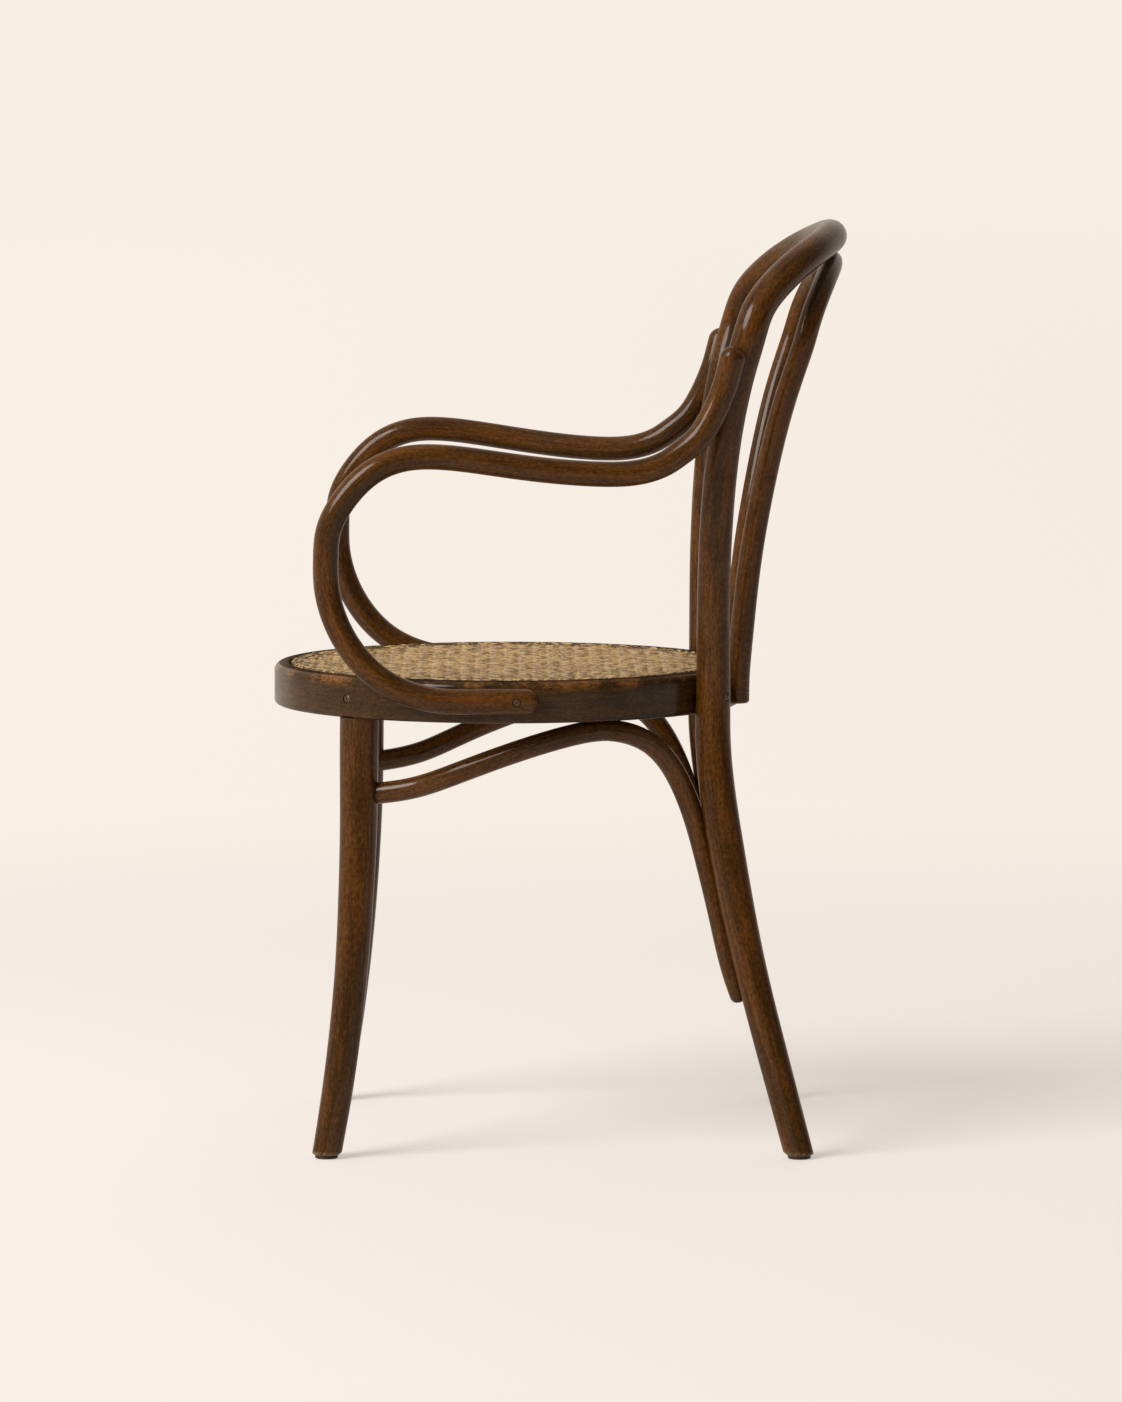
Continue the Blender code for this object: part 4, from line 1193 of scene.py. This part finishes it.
def layBraid():
    # two rows of humps of cane along the rim, copied from one
    hump = braidLoop()
    x, y, _ = meshPoints(hump).T
    loops = []
    for row, radius in enumerate((reed["outerRow"], reed["innerRow"])):
        for number in range(reed["loops"]):
            loop = hump.copy()
            loop.data = hump.data.copy()
            bpy.context.scene.collection.objects.link(loop)
            writeGrain(loop, np.column_stack((
                np.full_like(x, number * nextAside + 200 + row), 0.6 * x, y + number * nextAlong,
            )))
            turn = 2 * pi * (number + 0.5 * row) / reed["loops"]
            rise = (1 - reed["lower"] * row) * (1 + reed["uneven"] * sin(number * scatter + row))
            loop.data.transform(
                moved(seatPlace + Vector((0, 0, seatTop - reed["sunk"])))
                @ Matrix.Rotation(turn, 4, "Z") @ moved((radius, 0, 0))
                @ Matrix.Diagonal((1, 1, rise, 1))
            )
            loops.append(loop)
    bpy.data.objects.remove(hump)
    braid = joined(loops)
    braid.name = braid.data.name = "cane_braid"
    smoothShade(braid, 60)
    # the braid's cane, with painted shade at the loops' ends
    finishPiece(braid, caneFinish("braid skin", 1.28, True), "cane_reed", "cane_spline")


layReed()
layBraid()
print("reed and braid laid")

screwSteel = steelFinish("screw steel", 0.42)
glideSteel = steelFinish("glide steel", 0.5, "black")
for piece, node in screwPieces:
    finishPiece(piece, screwSteel, "screw_steel", node)
for piece, node in glidePieces:
    finishPiece(piece, glideSteel, "glide_steel", node)

# Floor, backdrop, lights and camera

studio = {
    "floor": (0.842, 0.79, 0.756, 1),
    "size": 800.0,
    "glow": (0.95, 0.868, 0.787, 1),  # what the camera and mirrors see of the paper, shadows apart
    "glowShare": (0.48, 1.0),  # close to the chair, where shadows show, and past them
    "glowRun": (1.0, 3.0),  # from the middle of the chair
    "nearTint": 0.955,  # the floor is a little darker towards the camera
    "nearRun": (-0.3, 1.2),
    "darkRun": (2.5, 9.0),  # the room's dark side, behind the camera
    "dark": 0.55,
    "leftTint": 1.005,  # the paper is a little lighter on the side of the key lamp
    "rightTint": 0.955,
    "sideRun": (-2.5, 2.5),
    "farTint": 0.98,  # of the floor far off, and of the paper above it
    "farRun": (6.0, 40.0),
    "world": (1.0, 0.985, 0.965, 1),
    "worldStrength": 0.61,
    "dimFront": 0.4,  # share of that behind the camera
    "frontRun": (0.2, 0.95),
    "dimBack": 0.31,  # and on the side of the chair's back
    "backRun": (-0.5, 0.8),
    "paperRun": (-0.8, -0.25),  # beyond the chair, where the paper stands
    "keyFrom": (0.47, -0.63, 0.62),
    "keyAim": 0.45,
    "keyFar": 9.0,
    "keySize": 5.2,
    "keyPower": 900.0,
    "keyColour": (1.0, 0.98, 0.955),
}


def makeFloor():
    # pale paper, which runs on into the pale far side of the room
    clearSelection()
    bpy.ops.mesh.primitive_plane_add(size=studio["size"])
    floor = bpy.context.object
    floor.name = floor.data.name = "floor"
    finish = Finish("floor paper")
    place = finish.place()
    ahead, across, _ = finish.parts(place)
    away = finish.vector("LENGTH", place, output="Value")
    side = finish.between(across, *studio["sideRun"], studio["leftTint"], studio["rightTint"])
    tint = (
        finish.between(ahead, *studio["nearRun"], 1.0, studio["nearTint"])
        * finish.between(ahead, *studio["darkRun"], 1.0, studio["dark"])
        * (side + (studio["farTint"] - side) * finish.between(away, *studio["farRun"]))
    )
    finish.feed(finish.shader, {
        "Base Color": finish.mix(1.0, studio["floor"], tint, "MULTIPLY"),
        "Roughness": 0.9, "Specular IOR Level": 0.2,
    })
    direct, mirror, through = (finish.add("ShaderNodeLightPath", {}, ray) for ray in (
        "Is Camera Ray", "Is Glossy Ray", "Is Transmission Ray",
    ))
    share = finish.between(away, *studio["glowRun"], *studio["glowShare"])
    shine = finish.mix(1.0, studio["glow"], tint, "MULTIPLY")
    glow = finish.add("ShaderNodeEmission", {"Color": shine, "Strength": 1.0}, "Emission")
    body = Value(finish, finish.shader.outputs["BSDF"])
    seen = (direct + mirror + through) * share
    mixed = finish.add("ShaderNodeMixShader", {0: seen, 1: body, 2: glow}, "Shader")
    finish.feed(finish.tree.nodes["Material Output"], {"Surface": mixed})
    floor.data.materials.append(finish.material)


makeFloor()


def lightRoom():
    # pale paper beyond the chair, and light from all round, dimmer behind the camera and the chair
    world = bpy.data.worlds.new("studio")
    bpy.context.scene.world = world
    world.use_nodes = True
    room = Finish("room", world.node_tree)
    ahead, across, _ = room.parts(room.place("Generated"))
    full = studio["worldStrength"]
    level = (
        room.between(ahead, *studio["frontRun"], full, full * studio["dimFront"])
        * room.between(across, *studio["backRun"], 1.0, studio["dimBack"])
    )
    paper = 1.0 - room.between(ahead, *studio["paperRun"])
    room.feed(world.node_tree.nodes["Background"], {
        "Color": room.mix(paper, studio["world"], studio["glow"]),
        "Strength": level * (1.0 - paper) + paper * studio["farTint"],
    })


lightRoom()


def setUp(name, data, place, sight):
    thing = bpy.data.objects.new(name, data)
    bpy.context.scene.collection.objects.link(thing)
    thing.location = place
    thing.rotation_mode = "QUATERNION"
    thing.rotation_quaternion = sight.to_track_quat("-Z", "Y")
    return thing


keyData = bpy.data.lights.new("key", "AREA")
keyData.shape = "DISK"
keyData.size = studio["keySize"]
keyData.energy = studio["keyPower"]
keyData.color = studio["keyColour"]
keySight = -Vector(studio["keyFrom"]).normalized() * studio["keyFar"]
setUp("key", keyData, Vector((0, 0, studio["keyAim"])) - keySight, keySight)

camera = {
    "distance": 7.2,
    "height": 1.1025,
    "down": 5.36,  # degrees
    "aside": 0.424,
    "lens": 234.03,  # on the sensor's width
    "sensor": 36.0,
}
lensData = bpy.data.cameras.new("camera")
lensData.sensor_fit = "HORIZONTAL"
lensData.sensor_width = camera["sensor"]
lensData.lens = camera["lens"]
lensData.clip_end = studio["size"]
down, aside = radians(camera["down"]), radians(camera["aside"])
sight = Vector((-cos(down) * cos(aside), cos(down) * sin(aside), -sin(down)))
eye = setUp("camera", lensData, Vector((camera["distance"], 0, camera["height"])) + seatPlace, sight)
bpy.context.scene.camera = eye
bpy.context.scene.view_settings.view_transform = "Standard"
print("studio set")
